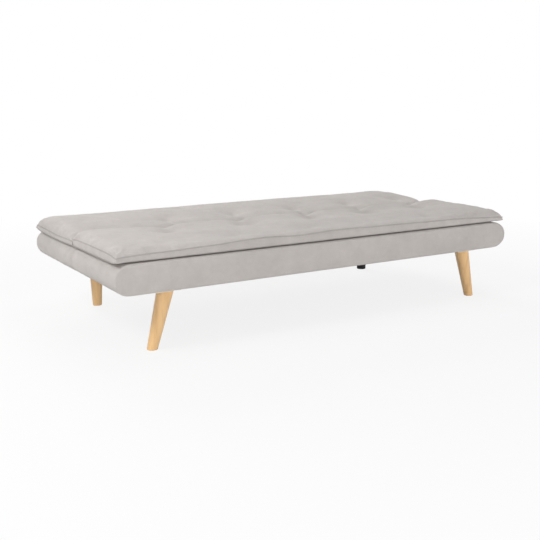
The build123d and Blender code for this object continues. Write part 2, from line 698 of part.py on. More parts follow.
def pawl(side):
    """Pawl below the sector, shown lifted out of the notches; it swings up to engage."""
    drop = radians(PAWL_THROW)
    plane = Plane(origin=(side * BACK_LEAF_IN, PAWL_Y, PAWL_Z),
                  x_dir=(0, cos(drop), -sin(drop)), z_dir=(1, 0, 0))
    with BuildPart() as lever:
        with BuildSketch(plane):
            Circle(PAWL_BOSS)
            with BuildLine():
                Polyline(*pawl_outline(), close=True)
            make_face()
            Circle(PAWL_PIN_RADIUS + PIN_FIT, mode=Mode.SUBTRACT)
        extrude(amount=side * HINGE_PLATE)
    return lever


def stepped_pin(side, y, z, radius, head_radius):
    """Shouldered rivet through both leaves, with a head on each side."""
    start = end_plane(side * (BACK_LEAF_IN - PIN_SIDE_GAP))
    with BuildSketch(start) as head:
        with Locations((y, z)):
            Circle(head_radius)
    extrude(head.sketch, amount=-side * PIN_HEAD)
    with BuildSketch(start) as shank:
        with Locations((y, z)):
            Circle(radius)
    extrude(shank.sketch, amount=side * (SEAT_RAIL_IN - BACK_LEAF_IN + PIN_SIDE_GAP))


def hinge_pins():
    """The two pivots of the backrest."""
    with BuildPart() as pins:
        for side in (-1, 1):
            stepped_pin(side, CREASE_Y, PIVOT_Z, PIN_RADIUS, PIN_HEAD_RADIUS)
            with BuildSketch(end_plane(side * SEAT_RAIL_IN)):
                with Locations((CREASE_Y, PIVOT_Z)):
                    Circle(PIN_PEEN_RADIUS)
            extrude(amount=side * PIN_HEAD)
    return pins


def pawl_pins():
    """The two pivots of the pawls."""
    with BuildPart() as pins:
        for side in (-1, 1):
            stepped_pin(side, PAWL_Y, PAWL_Z, PAWL_PIN_RADIUS, PAWL_PIN_HEAD_RADIUS)
    return pins


def hinge_screws(crease, leaf_x):
    """Screws through one pair of leaves into the end rails."""
    with BuildPart() as screws:
        for side in (-1, 1):
            with BuildSketch(end_plane(side * leaf_x)):
                with Locations(*hinge_screw_spots(crease)):
                    Circle(SCREW_RADIUS)
            extrude(amount=side * SCREW_LENGTH)
            with BuildSketch(end_plane(side * leaf_x)):
                with Locations(*hinge_screw_spots(crease)):
                    Circle(SCREW_HEAD_RADIUS)
            extrude(amount=-side * SCREW_HEAD)
    return screws


# ---- seat half ----
seat_rail_y0 = FRONT_Y + FABRIC + RAIL_WRAP
seat_inner_y0 = seat_rail_y0 + RAIL_THICK
seat_crease_y0 = CREASE_Y - CREASE_RAIL_SETBACK - RAIL_THICK
seat_end_y1 = CREASE_Y - CREASE_GAP / 2 - SEAM_RADIUS

finish(long_rail(SEAT_RAIL_OUT, seat_rail_y0), "seat_front_rail")
finish(long_rail(SEAT_LEAF_IN, seat_crease_y0), "seat_crease_rail")
finish(end_rails(SEAT_RAIL_IN, seat_inner_y0, seat_end_y1, -1), "seat_end_rails")
finish(cross_rails(seat_inner_y0, seat_crease_y0), "seat_cross_rails")
finish(leg_boards(seat_inner_y0, seat_crease_y0), "leg_boards")
finish(webbing(seat_rail_y0, seat_crease_y0 + RAIL_THICK), "seat_webbing")
finish(foam_pad(True), "seat_foam")
finish(base_cover(True), "seat_cover")
finish(dust_cover(True), "seat_dust_cover")
finish(topper(True), "seat_topper")

# ---- backrest half ----
back_rail_y0 = FAR_Y - FAR_LOW_RADIUS - RAIL_THICK
back_crease_y0 = CREASE_Y + CREASE_RAIL_SETBACK
back_inner_y0 = back_crease_y0 + RAIL_THICK
back_end_y0 = CREASE_Y + CREASE_GAP / 2 + SEAM_RADIUS

finish(long_rail(BACK_RAIL_OUT, back_rail_y0), "back_far_rail")
finish(long_rail(BACK_LEAF_IN, back_crease_y0), "back_crease_rail")
finish(end_rails(BACK_RAIL_IN, back_end_y0, back_rail_y0, 1), "back_end_rails")
finish(cross_rails(back_inner_y0, back_rail_y0), "back_cross_rails")
finish(webbing(back_crease_y0, back_rail_y0 + RAIL_THICK), "back_webbing")
finish(foam_pad(False), "back_foam")
finish(base_cover(False), "back_cover")
finish(dust_cover(False), "back_dust_cover")
finish(topper(False), "back_topper")

# ---- legs and support ----
finish(front_leg(-1), "front_left_leg")
finish(front_leg(1), "front_right_leg")
finish(rear_leg(-1, 0), "rear_left_leg")
finish(rear_leg(1, CAP_FLOOR), "rear_right_leg")
finish(foot_cap(1), "rear_right_foot_cap")
finish(front_plates(), "front_leg_plates")
finish(rear_plates(), "rear_leg_plates")
finish(plate_screws(), "plate_screws")
finish(leg_bolts(), "leg_bolts")
finish(side_tube(-1), "left_support_tube")
finish(side_tube(1), "right_support_tube")
finish(crossbar(), "rear_crossbar")
finish(tube_plugs(), "tube_plugs")
finish(spacers(), "support_spacers")
finish(support_bolts(), "support_bolts")
finish(buffers(), "rest_buffers")

# ---- hinges ----
for side_name, side in (("left", -1), ("right", 1)):
    finish(seat_leaf(side), f"{side_name}_seat_leaf")
    finish(ratchet_leaf(side), f"{side_name}_ratchet_leaf")
    finish(pawl(side), f"{side_name}_pawl")
finish(hinge_pins(), "hinge_pins")
finish(pawl_pins(), "pawl_pins")
finish(hinge_screws(-1, SEAT_LEAF_IN), "seat_hinge_screws")
finish(hinge_screws(1, BACK_LEAF_IN), "back_hinge_screws")
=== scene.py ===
"""Dresses the click-clack sofa bed: soft covers, pillow tops, seams and finishes over its solid frame."""
import json
from math import cos, pi, sin

import bpy
import numpy as np
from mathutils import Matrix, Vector, noise


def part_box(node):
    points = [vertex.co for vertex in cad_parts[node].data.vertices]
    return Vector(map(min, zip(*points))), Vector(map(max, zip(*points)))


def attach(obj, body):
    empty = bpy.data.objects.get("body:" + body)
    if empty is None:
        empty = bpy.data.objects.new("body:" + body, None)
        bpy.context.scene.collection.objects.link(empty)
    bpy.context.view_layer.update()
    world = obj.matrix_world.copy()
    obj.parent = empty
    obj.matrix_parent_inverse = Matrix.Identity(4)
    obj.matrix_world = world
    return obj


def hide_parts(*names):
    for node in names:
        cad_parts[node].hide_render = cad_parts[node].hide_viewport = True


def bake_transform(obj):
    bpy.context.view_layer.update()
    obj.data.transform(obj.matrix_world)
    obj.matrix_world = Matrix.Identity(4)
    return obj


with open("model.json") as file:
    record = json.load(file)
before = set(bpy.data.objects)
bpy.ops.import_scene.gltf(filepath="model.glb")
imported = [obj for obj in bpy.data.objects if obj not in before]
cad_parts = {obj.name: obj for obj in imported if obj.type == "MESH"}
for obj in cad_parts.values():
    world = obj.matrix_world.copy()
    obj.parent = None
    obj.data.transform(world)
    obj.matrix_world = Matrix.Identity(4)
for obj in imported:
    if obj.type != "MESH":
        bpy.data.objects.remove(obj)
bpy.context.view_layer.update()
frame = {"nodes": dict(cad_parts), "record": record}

bl_info = {
    "name": "Sofa bed dressing",
    "version": (1, 0, 0),
    "blender": (4, 5, 0),
    "location": "3D View > Sidebar > Sofa Bed",
    "description": "Builds the covers, pillow tops, seams and finishes of a click-clack sofa bed",
    "category": "Object",
}

# ---- places read from the frame, in metres ----
SEAT_LOW, SEAT_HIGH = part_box("seat_cover")
BACK_LOW, BACK_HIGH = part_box("back_cover")
LEAF_LOW, LEAF_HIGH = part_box("right_ratchet_leaf")[0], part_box("right_seat_leaf")[1]
RAIL_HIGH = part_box("seat_cross_rails")[1]
SHEET_BOXES = {"seat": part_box("seat_dust_cover"), "back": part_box("back_dust_cover")}
HALF_LENGTH = SEAT_HIGH.x
FRONT_Y = SEAT_LOW.y
FAR_Y = BACK_HIGH.y
CREASE_Y = (SEAT_HIGH.y + BACK_LOW.y) / 2
BASE_LOW, BASE_TOP = SEAT_LOW.z, SEAT_HIGH.z
CROWN_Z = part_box("seat_topper")[1].z
BODIES = {"seat": "seat", "back": "backrest"}
MM = 0.001


# ---- sizes and colours a user would change ----

class SofaBedSizes(bpy.types.PropertyGroup):
    """Sizes of the soft parts."""
    end_radius: bpy.props.FloatProperty(
        name="End radius", description="Rounding of both ends of the base",
        default=50 * MM, min=10 * MM, max=55 * MM, unit="LENGTH")
    seam_radius: bpy.props.FloatProperty(
        name="Panel seam radius", description="Rounding behind the sewn edge of the front panel",
        default=9 * MM, min=2 * MM, max=20 * MM, unit="LENGTH")
    crease_radius: bpy.props.FloatProperty(
        name="Crease radius", description="Rounding of the edges that roll together at the crease",
        default=19 * MM, min=5 * MM, max=30 * MM, unit="LENGTH")
    far_radius: bpy.props.FloatProperty(
        name="Far edge radius", description="Rounding along the far edge of the backrest's base",
        default=30 * MM, min=5 * MM, max=45 * MM, unit="LENGTH")
    piping_radius: bpy.props.FloatProperty(
        name="Piping radius", description="Radius of the cord sewn into the seams",
        default=2.3 * MM, min=0.5 * MM, max=6 * MM, unit="LENGTH")
    tuft_depth: bpy.props.FloatProperty(
        name="Tuft depth", description="How far each soft tuft pulls the pillow top down",
        default=16 * MM, min=0, max=30 * MM, unit="LENGTH")
    tuft_reach: bpy.props.FloatProperty(
        name="Tuft reach", description="Radius over which a tuft pulls the cloth",
        default=86 * MM, min=10 * MM, max=120 * MM, unit="LENGTH")
    valley_gap: bpy.props.FloatProperty(
        name="Valley gap", description="Each pillow top's edge to the crease line",
        default=0.9 * MM, min=0.5 * MM, max=20 * MM, unit="LENGTH")
    crown_run: bpy.props.FloatProperty(
        name="Crown run", description="From the seam to the full height of the pillow top",
        default=85 * MM, min=20 * MM, max=200 * MM, unit="LENGTH")
    roll_run: bpy.props.FloatProperty(
        name="Roll run", description="Width of the rolled edge beside the crease",
        default=64 * MM, min=10 * MM, max=120 * MM, unit="LENGTH")
    ear: bpy.props.FloatProperty(
        name="Corner ear", description="How far the sewn corners of the pillow top stand out",
        default=13 * MM, min=0, max=30 * MM, unit="LENGTH")


class SofaBedColours(bpy.types.PropertyGroup):
    """Colours of the finishes."""
    cloth: bpy.props.FloatVectorProperty(
        name="Cloth", description="Warm pale grey of the woven cover", subtype="COLOR",
        size=3, min=0, max=1, default=(0.590, 0.553, 0.526))
    wood: bpy.props.FloatVectorProperty(
        name="Leg wood", description="Pale lacquered wood of the legs", subtype="COLOR",
        size=3, min=0, max=1, default=(0.90, 0.58, 0.28))
    wood_grain: bpy.props.FloatVectorProperty(
        name="Leg grain", description="Darker lines of the leg wood", subtype="COLOR",
        size=3, min=0, max=1, default=(0.66, 0.38, 0.16))


# ---- shader maths ----

# sockets of the Light Path, Texture Coordinate and Mix nodes
IS_CAMERA_RAY, IS_GLOSSY_RAY, IS_TRANSMISSION_RAY = 0, 3, 6
NORMAL, OBJECT = 1, 3
MIX_AMOUNT, MIX_FIRST, MIX_SECOND, MIX_COLOUR = 0, 6, 7, 2


class Value:
    """A socket that can be used in arithmetic; each operation adds a Math node."""

    def __init__(self, shader, socket):
        self.shader = shader
        self.socket = socket

    def _math(self, operation, *terms):
        return self.shader.node("ShaderNodeMath", {"operation": operation}, dict(enumerate(terms)))[0]

    def __add__(self, other):
        return self._math("ADD", self, other)

    def __sub__(self, other):
        return self._math("SUBTRACT", self, other)

    def __rsub__(self, other):
        return self._math("SUBTRACT", other, self)

    def __mul__(self, other):
        return self._math("MULTIPLY", self, other)

    def __truediv__(self, other):
        return self._math("DIVIDE", self, other)

    def __rtruediv__(self, other):
        return self._math("DIVIDE", other, self)

    def __abs__(self):
        return self._math("ABSOLUTE", self)

    __radd__ = __add__
    __rmul__ = __mul__

    def sine(self):
        """The sine of the value, in radians."""
        return self._math("SINE", self)

    def clamped(self):
        """The same value held between 0 and 1."""
        return self.shader.node("ShaderNodeClamp", None, {"Value": self})[0]


class Shader:
    """The nodes of a material or of the world under construction."""

    def __init__(self, owner):
        self.owner = owner
        owner.use_nodes = True
        self.tree = owner.node_tree
        self.tree.nodes.clear()

    def node(self, kind, settings=None, inputs=None):
        """Adds a node: its settings first, then its sockets. Returns its outputs as Values."""
        made = self.tree.nodes.new(kind)
        for key, value in (settings or {}).items():
            setattr(made, key, value)
        for key, value in (inputs or {}).items():
            if isinstance(value, Value):
                self.tree.links.new(value.socket, made.inputs[key])
            else:
                made.inputs[key].default_value = value
        return [Value(self, output) for output in made.outputs]

    def split(self, vector):
        """The three parts of a vector."""
        return self.node("ShaderNodeSeparateXYZ", None, {0: vector})

    def seen_by_camera(self):
        """1 for rays that reach the camera directly, by a mirror or through glass."""
        rays = self.node("ShaderNodeLightPath")
        return (rays[IS_CAMERA_RAY] + rays[IS_GLOSSY_RAY] + rays[IS_TRANSMISSION_RAY]).clamped()

    def stretched(self, vector, scale):
        """The vector scaled along each axis; less than 1 draws a pattern out along it."""
        return self.node("ShaderNodeMapping", None, {"Vector": vector, "Scale": scale})[0]

    def noise(self, vector, scale, detail=2.0, roughness=0.5, distortion=0.0):
        """Cloudy noise from 0 to 1."""
        return self.node("ShaderNodeTexNoise", None, {
            "Vector": vector, "Scale": scale, "Detail": detail,
            "Roughness": roughness, "Distortion": distortion})[0]

    def mix(self, amount, first, second):
        """Mix of two colours."""
        return self.node("ShaderNodeMix", {"data_type": "RGBA"}, {
            MIX_AMOUNT: amount, MIX_FIRST: first, MIX_SECOND: second})[MIX_COLOUR]

    def bump(self, height, distance, strength):
        """A normal bent by a height."""
        return self.node("ShaderNodeBump", None, {
            "Height": height, "Distance": distance, "Strength": strength})[0]

    def finish(self, **sockets):
        """Ends in a Principled shader."""
        surface = self.node("ShaderNodeBsdfPrincipled", None,
                            {name.replace("_", " "): value for name, value in sockets.items()})[0]
        self.node("ShaderNodeOutputMaterial", None, {"Surface": surface})
        return self.owner


def material(name):
    """An empty shader of this name, with the object's own coordinates and normal."""
    shader = Shader(bpy.data.materials.new(name))
    found = shader.node("ShaderNodeTexCoord")
    return shader, found[OBJECT], found[NORMAL]


def rgba(colour, shade=1.0):
    """The colour times a shade, with full alpha."""
    return (*(min(1.0, part * shade) for part in colour), 1.0)


def lattice(shader, pitch, point, normal):
    """Height of a plain weave with threads this far apart, seen square to each side of the piece."""
    x, y, z = ((part * (2 * pi / pitch)).sine() for part in shader.split(point))
    side = [abs(part) for part in shader.split(normal)]
    return y * z * side[0] + x * z * side[1] + x * y * side[2]


def cloth_finish(name, colour, pitch=1.7 * MM):
    """Plain-woven upholstery cloth, slightly heathered, with this far between its threads."""
    shader, point, normal = material(name)
    weave = lattice(shader, pitch, point, normal)
    slub = shader.noise(shader.stretched(point, (1, 1, 3)), 420.0, 3.0, 0.65)
    cross = shader.noise(shader.stretched(point, (3, 1, 1)), 360.0, 2.0, 0.6)
    broad = shader.noise(point, 6.0, 3.0, 0.6)
    blotch = shader.noise(point, 26.0, 4.0, 0.7)
    tone = (slub * 0.7 + cross * 0.45 + weave * 0.12 + broad * 0.6 + blotch * 0.6 - 0.67).clamped()
    tint = shader.mix(tone, rgba(colour, 0.80), rgba(colour, 1.19))
    height = weave * 0.5 + slub * 0.7 + cross * 0.5
    return shader.finish(
        Base_Color=tint, Roughness=slub * 0.12 + 0.82, Sheen_Weight=0.12, Sheen_Roughness=0.5,
        Specular_IOR_Level=0.18, Normal=shader.bump(height, 0.5 * MM, 0.55))


def nonwoven_finish(name, colour):
    """Thin bonded sheet of the dust covers."""
    shader, point, normal = material(name)
    fibres = shader.noise(point, 900.0, 4.0, 0.7)
    dots = lattice(shader, 3.2 * MM, point, normal)
    tint = shader.mix(fibres, rgba(colour, 0.6), rgba(colour, 1.7))
    return shader.finish(Base_Color=tint, Roughness=fibres * 0.2 + 0.75,
                         Normal=shader.bump(fibres * 0.7 + dots * 0.4, 0.3 * MM, 0.6))


def leg_wood_finish(name, colour, grain):
    """Turned hardwood with fine upright grain under a satin lacquer."""
    shader, point, _ = material(name)
    along = shader.stretched(point, (1, 1, 0.06))
    wander = shader.noise(shader.stretched(point, (1, 1, 0.25)), 9.0, 2.0)
    rings = shader.noise(along, 95.0, 3.0, 0.55, 0.6)
    fine = shader.noise(shader.stretched(point, (1, 1, 0.02)), 620.0, 3.0, 0.7)
    pores = shader.noise(shader.stretched(point, (1, 1, 0.05)), 1500.0, 2.0, 0.6)
    tone = ((rings - 0.42) * 2.2 + wander * 0.35 - 0.12).clamped()
    body = shader.mix(tone, rgba(colour), rgba(grain))
    soft = shader.mix((fine * 0.5).clamped(), body, rgba(colour, 1.06))
    tint = shader.mix(((pores - 0.62) * 3.0).clamped(), soft, rgba(grain, 0.72))
    return shader.finish(Base_Color=tint, Roughness=fine * 0.18 + 0.32, Coat_Weight=0.15,
                         Normal=shader.bump(fine * 0.5 + pores * 0.3, 0.15 * MM, 0.4))


def timber_finish(name):
    """Sawn softwood of the hidden frame."""
    shader, point, _ = material(name)
    rings = shader.noise(shader.stretched(point, (0.05, 0.35, 1)), 70.0, 3.0, 0.6, 0.8)
    fine = shader.noise(shader.stretched(point, (0.03, 1, 1)), 500.0, 3.0, 0.7)
    knots = shader.noise(point, 9.0, 2.0)
    body = shader.mix(((rings - 0.4) * 2.4).clamped(), (0.66, 0.47, 0.25, 1), (0.44, 0.26, 0.11, 1))
    tint = shader.mix(((knots - 0.66) * 5.0).clamped(), body, (0.20, 0.10, 0.04, 1))
    return shader.finish(Base_Color=tint, Roughness=fine * 0.2 + 0.62,
                         Normal=shader.bump(fine, 0.4 * MM, 0.5))


def foam_finish(name):
    """Open-cell foam."""
    shader, point, _ = material(name)
    cells = shader.node("ShaderNodeTexVoronoi", {"feature": "F1"}, {"Vector": point, "Scale": 600.0})[0]
    tint = shader.mix(cells, (0.62, 0.55, 0.34, 1), (0.86, 0.80, 0.58, 1))
    return shader.finish(Base_Color=tint, Roughness=0.95, Normal=shader.bump(cells, 0.6 * MM, 0.6))


def webbing_finish(name):
    """Elastic webbing with ribs across its width."""
    shader, point, normal = material(name)
    ribs = (shader.split(point)[1] * (2 * pi / (2.4 * MM))).sine()
    weave = lattice(shader, 1.2 * MM, point, normal)
    tint = shader.mix((ribs * 0.4 + 0.5).clamped(), (0.10, 0.085, 0.07, 1), (0.26, 0.22, 0.18, 1))
    return shader.finish(Base_Color=tint, Roughness=0.85,
                         Normal=shader.bump(ribs + weave * 0.5, 0.4 * MM, 0.6))


def zinc_finish(name):
    """Bright zinc-plated steel, faintly brushed."""
    shader, point, _ = material(name)
    brushed = shader.noise(shader.stretched(point, (1, 0.05, 1)), 1400.0, 3.0, 0.6)
    stain = shader.noise(point, 45.0, 3.0)
    tint = shader.mix(stain, (0.50, 0.50, 0.49, 1), (0.72, 0.72, 0.70, 1))
    return shader.finish(Base_Color=tint, Metallic=1.0, Roughness=brushed * 0.25 + stain * 0.12 + 0.18,
                         Normal=shader.bump(brushed, 0.05 * MM, 0.3))


def black_steel_finish(name):
    """Satin black powder coat with its orange-peel texture."""
    shader, point, _ = material(name)
    peel = shader.noise(point, 800.0, 2.0, 0.5)
    dust = shader.noise(point, 30.0, 3.0)
    tint = shader.mix(dust, (0.016, 0.016, 0.017, 1), (0.034, 0.034, 0.035, 1))
    return shader.finish(Base_Color=tint, Roughness=peel * 0.15 + 0.36,
                         Normal=shader.bump(peel, 0.12 * MM, 0.5))


def rubber_finish(name):
    """Moulded black rubber."""
    shader, point, _ = material(name)
    grain = shader.noise(point, 700.0, 3.0, 0.6)
    bloom = shader.noise(point, 60.0, 2.0)
    tint = shader.mix(bloom, (0.006, 0.006, 0.006, 1), (0.016, 0.016, 0.016, 1))
    return shader.finish(Base_Color=tint, Roughness=grain * 0.2 + 0.6, Specular_IOR_Level=0.3,
                         Normal=shader.bump(grain, 0.15 * MM, 0.5))


def make_finishes():
    """All finishes by material slot, made once."""
    colours = bpy.context.scene.sofa_bed_colours
    cloth = tuple(colours.cloth)
    return {
        "cover_cloth": cloth_finish("woven_cover", cloth),
        # the piping cloth is the cover cloth painted 0.8 times darker: painted shade of the groove along the
        # seams
        "piping_cloth": cloth_finish("piping_cloth", tuple(part * 0.8 for part in cloth), 1.2 * MM),
        "dust_cloth": nonwoven_finish("dust_sheet", (0.022, 0.022, 0.023)),
        "leg_wood": leg_wood_finish("leg_wood", tuple(colours.wood), tuple(colours.wood_grain)),
        "frame_timber": timber_finish("frame_timber"),
        "foam": foam_finish("foam"),
        "webbing": webbing_finish("webbing"),
        "zinc_steel": zinc_finish("zinc_steel"),
        "black_steel": black_steel_finish("black_steel"),
        "black_rubber": rubber_finish("black_rubber"),
        "black_plastic": rubber_finish("black_plastic"),
    }


FINISHES = {}  # filled by main, and for the floor by the stage


# ---- mesh tools ----

# faces of a box whose corner numbers count x, then y, then z, low before high
BOX_FACES = ((0, 2, 3, 1), (4, 5, 7, 6), (0, 1, 5, 4), (2, 6, 7, 3), (0, 4, 6, 2), (1, 3, 7, 5))
TINY = 1e-9  # keeps divisions away from zero


def mesh_object(name, points, faces, finish, smooth=True):
    """A mesh object from points and faces, in metres."""
    mesh = bpy.data.meshes.new(name)
    mesh.from_pydata([tuple(point) for point in points], [], [tuple(int(i) for i in face) for face in faces])
    mesh.validate()
    mesh.update()
    if smooth:
        mesh.shade_smooth()
    made = bpy.data.objects.new(name, mesh)
    bpy.context.collection.objects.link(made)
    mesh.materials.append(FINISHES[finish])
    return made


def apply_modifiers(piece):
    """Bakes a piece's modifiers into its mesh."""
    graph = bpy.context.evaluated_depsgraph_get()
    mesh = bpy.data.meshes.new_from_object(piece.evaluated_get(graph))
    piece.modifiers.clear()
    piece.data = mesh
    mesh.shade_smooth()


def subdivide(piece):
    """One level of subdivision, applied."""
    finer = piece.modifiers.new("finer", "SUBSURF")
    finer.levels = finer.render_levels = 1
    apply_modifiers(piece)


def read_points(piece):
    """The piece's points as an array of rows x, y, z."""
    places = np.zeros(len(piece.data.vertices) * 3)
    piece.data.vertices.foreach_get("co", places)
    return places.reshape(-1, 3)


def write_points(piece, places):
    """Puts the points back into the piece's mesh."""
    piece.data.vertices.foreach_set("co", np.ascontiguousarray(places).ravel())
    piece.data.update()


def ripple(points, scale, seed):
    """Smooth repeatable noise at each point, about -1 to 1."""
    offset = Vector((seed * 17.3, seed * 5.1, seed * 9.7))
    total = np.zeros(len(points))
    for index, point in enumerate(points):
        place = Vector(point) * scale + offset
        total[index] = noise.fractal(place, 1.0, 2.0, 2)
    return total


def soft_step(value, low, high):
    """0 below low, 1 above high, smooth between."""
    t = np.clip((value - low) / (high - low), 0, 1)
    return t * t * (3 - 2 * t)


def panel(ring, start, offset):
    """Fills an outline by columns from its left middle to its right middle: new points and the columns."""
    rows, count = 9, len(ring)
    steps = count // 2
    upper = [(start + k) % count for k in range(steps + 1)]
    lower = [(start - k) % count for k in range(steps + 1)]
    points, columns = [], [[upper[0]] * (rows + 1)]
    for k in range(1, steps):
        column = [upper[k]]
        for step in range(1, rows):
            t = step / rows
            points.append(ring[upper[k]] * (1 - t) + ring[lower[k]] * t)
            column.append(offset + len(points) - 1)
        columns.append(column + [lower[k]])
    columns.append([upper[-1]] * (rows + 1))
    return np.array(points), columns


def column_faces(columns, number_of):
    """Quads between neighbouring columns, with triangles at the two pointed ends."""
    faces = []
    for left, right in zip(columns[:-1], columns[1:]):
        for row in range(len(left) - 1):
            face = []
            for key in (left[row], right[row], right[row + 1], left[row + 1]):
                number = number_of(key)
                if number not in face:
                    face.append(number)
            if len(face) > 2:
                faces.append(tuple(face))
    return faces


def loft(rings, start):
    """A closed form: faces between closed rings of equal count, and a filled panel at each end."""
    count, steps = len(rings[0]), len(rings)
    points = np.concatenate(rings)
    faces = []
    for j in range(steps - 1):
        for i in range(count):
            k = (i + 1) % count
            faces.append((j * count + i, j * count + k, (j + 1) * count + k, (j + 1) * count + i))
    for ring_start, flip in ((0, True), ((steps - 1) * count, False)):
        inner, columns = panel(rings[ring_start // count], start, count)
        extra = len(points)
        made = column_faces(columns, lambda key: ring_start + key if key < count else extra + key - count)
        faces += [face[::-1] for face in made] if flip else made
        points = np.concatenate([points, inner])
    return points, faces


def unit_rows(rows):
    """Each row scaled to length 1."""
    return rows / np.maximum(np.linalg.norm(rows, axis=1, keepdims=True), TINY)


def cord_loop(name, path, radius, finish):
    """A round cord along a closed path of points, as a mesh."""
    sides = 8
    path = np.asarray(path, float)
    tangent = unit_rows(unit_rows(np.roll(path, -1, 0) - path) + unit_rows(path - np.roll(path, 1, 0)))
    up = np.tile((0.02, 0.03, 1.0), (len(path), 1))
    across = unit_rows(np.cross(tangent, up))
    lift = np.cross(across, tangent)
    rings = []
    for step in range(sides):
        angle = 2 * pi * step / sides
        rings.append(path + radius * (cos(angle) * across + sin(angle) * lift))
    points = np.stack(rings, 1).reshape(-1, 3)
    faces = []
    for i in range(len(path)):
        j = (i + 1) % len(path)
        for k in range(sides):
            m = (k + 1) % sides
            faces.append((i * sides + k, j * sides + k, j * sides + m, i * sides + m))
    return mesh_object(name, points, faces, finish)


def smooth_through(places, heights, at):
    """Smooth curve through given heights, by soft steps between them."""
    places, heights = np.asarray(places), np.asarray(heights)
    index = np.clip(np.searchsorted(places, at) - 1, 0, len(places) - 2)
    t = soft_step(at, places[index], places[index + 1])
    return heights[index] * (1 - t) + heights[index + 1] * t


# ---- pillow tops ----

# On a pillow top, x runs along the bed and a is the distance from the crease.
OUTWARD = {"seat": -1, "back": 1}  # the way along y from the crease
TUFTS = {
    "seat": ((-0.55, 0.125), (-0.225, 0.125), (0.11, 0.125), (0.39, 0.125), (0.69, 0.125),
             (-0.68, 0.345), (-0.38, 0.345), (-0.06, 0.345), (0.25, 0.345), (0.53, 0.345)),
    "back": ((-0.45, 0.135), (-0.13, 0.135), (0.18, 0.135), (0.48, 0.135), (0.77, 0.135),
             (-0.60, 0.335), (-0.29, 0.335), (0.02, 0.335), (0.35, 0.335), (0.625, 0.335)),
}
NEAR_CREASE = 0.20  # tufts closer than this are the row beside the crease
TUFT_STRENGTH = {"seat": 1.0, "back": 0.5}
OUTER_ROW_STRENGTH = 0.5
HOLLOW_SQUEEZE = 0.65  # less than 1 draws the hollows out along the bed
FOLDS = ((0, 5), (0, 6), (1, 6), (1, 7), (2, 7), (2, 8), (3, 8), (3, 9), (4, 9))  # between tufts
# depth and half width of the folds between tufts, from tufts to the crease, and to the front
TUFT_FOLD, CREASE_FOLD, FRONT_FOLD = (3 * MM, 30 * MM), (11 * MM, 46 * MM), (2 * MM, 24 * MM)
DEEPEST_PULL = 28 * MM

# heights of the upper seam above the floor; along the front, the places come before them
CREASE_SEAM = 0.334
CREASE_SEAM_LIP = {"seat": 10 * MM, "back": 2 * MM}  # how much higher it is at the ends
FRONT_SEAM = ((-0.90, -0.72, -0.58, -0.33, -0.17, 0.0, 0.25, 0.55, 0.90),
              (0.349, 0.351, 0.354, 0.3635, 0.3575, 0.363, 0.3595, 0.3555, 0.345))
END_SEAM = {"seat": (0.345, 0.3485, 0.3505, 0.3505, 0.347), "back": (0.334, 0.3335, 0.3325, 0.336, 0.339)}
CORNER_SEAM = {"seat": (0.3445, 0.342), "back": (0.3375, 0.3375)}  # at the left and the right corner

ROLL_WIDENING = {"seat": 1.0, "back": 2.4}  # of the roll beside the crease
ROLL_FULLNESS = {"seat": 2.2, "back": 1.6}
END_FULLNESS, OUTER_FULLNESS, CORNER_FULLNESS = 2.5, 2.1, 3.0
TOP_COLUMNS, TOP_ROWS = 133, 30
EDGE_STEPS = np.array((0, 3, 8, 15, 24)) * MM  # finer steps of the mesh beside a seam
UNDER_INSET = 9 * MM  # of the underside's rim
CREASE_HANG = 8.5 * MM  # how far the band's foot hangs at the ends
END_HANG = {"seat": -1.5 * MM, "back": 4 * MM}  # more or less of it away from the crease
# rings of the band: share of the way inwards, bulge in millimetres, share of the way down
BAND_RINGS = ((0.18, 0.9, 0.16), (0.42, 2.0, 0.42), (0.68, 2.2, 0.70), (0.90, 0.9, 0.93))
BAND_SEED = {"seat": 3, "back": 4}
WRINKLE_SEED = {"seat": 11, "back": 12}
GATHERS = 13  # ripples in the fan at each corner
SIM_FRAMES = 22
MOST_SWELL = 5 * MM  # limit of the simulation's movement


def outer_edge_height(x):
    """Height of the upper seam along the front, which dips and rises between the tufts."""
    return smooth_through(*FRONT_SEAM, x)


def end_edge_height(half, a, depth):
    """Height of the upper seam along an end, from the crease outwards."""
    return smooth_through((0, 0.05, 0.2, depth * 0.75, depth), END_SEAM[half], a)


def dent(distance, reach):
    """Broad soft hollow where the cloth is drawn down."""
    return np.exp(-(distance / reach) ** 2)


def dome(run, fullness):
    """Rounded rise from 0 at an edge to 1 at the crown, over a run of 0 to 1."""
    return (1 - (1 - np.clip(run, 0, 1)) ** fullness) ** (1 / fullness)


def rounded_both(first, second):
    """Two rises joined into one full corner."""
    power = CORNER_FULLNESS
    return np.clip(1 - ((1 - first) ** power + (1 - second) ** power) ** (1 / power), 0, 1)


def crease_line(x, a, start, end, width):
    """1 on the line between two places, fading sideways and towards the middle of its length."""
    start, end = np.asarray(start), np.asarray(end)
    along = end - start
    length = np.linalg.norm(along)
    t = np.clip(((x - start[0]) * along[0] + (a - start[1]) * along[1]) / length ** 2, 0, 1)
    off = np.hypot(x - start[0] - t * along[0], a - start[1] - t * along[1])
    return np.exp(-(off / width) ** 2) * (0.45 + 0.55 * np.abs(2 * t - 1) ** 1.5)


def seam_height(half, x, a, depth, near):
    """Height of the upper seam at the edge that each place is nearest to; near is 0 at the crease."""
    from_end, from_outer = HALF_LENGTH - np.abs(x), depth - a
    outer_edge = outer_edge_height(x if half == "seat" else -x)
    blend = soft_step(from_end / (from_end + from_outer + 1e-6), 0.1, 0.9)
    edge = end_edge_height(half, a, depth) * (1 - blend) + outer_edge * blend
    low = CREASE_SEAM + CREASE_SEAM_LIP[half] * (1 - soft_step(from_end, 0, 120 * MM))
    edge = edge * near + low * (1 - near)
    tip = np.exp(-(from_end + from_outer) / (50 * MM))
    return edge * (1 - tip) + np.where(x < 0, *CORNER_SEAM[half]) * tip


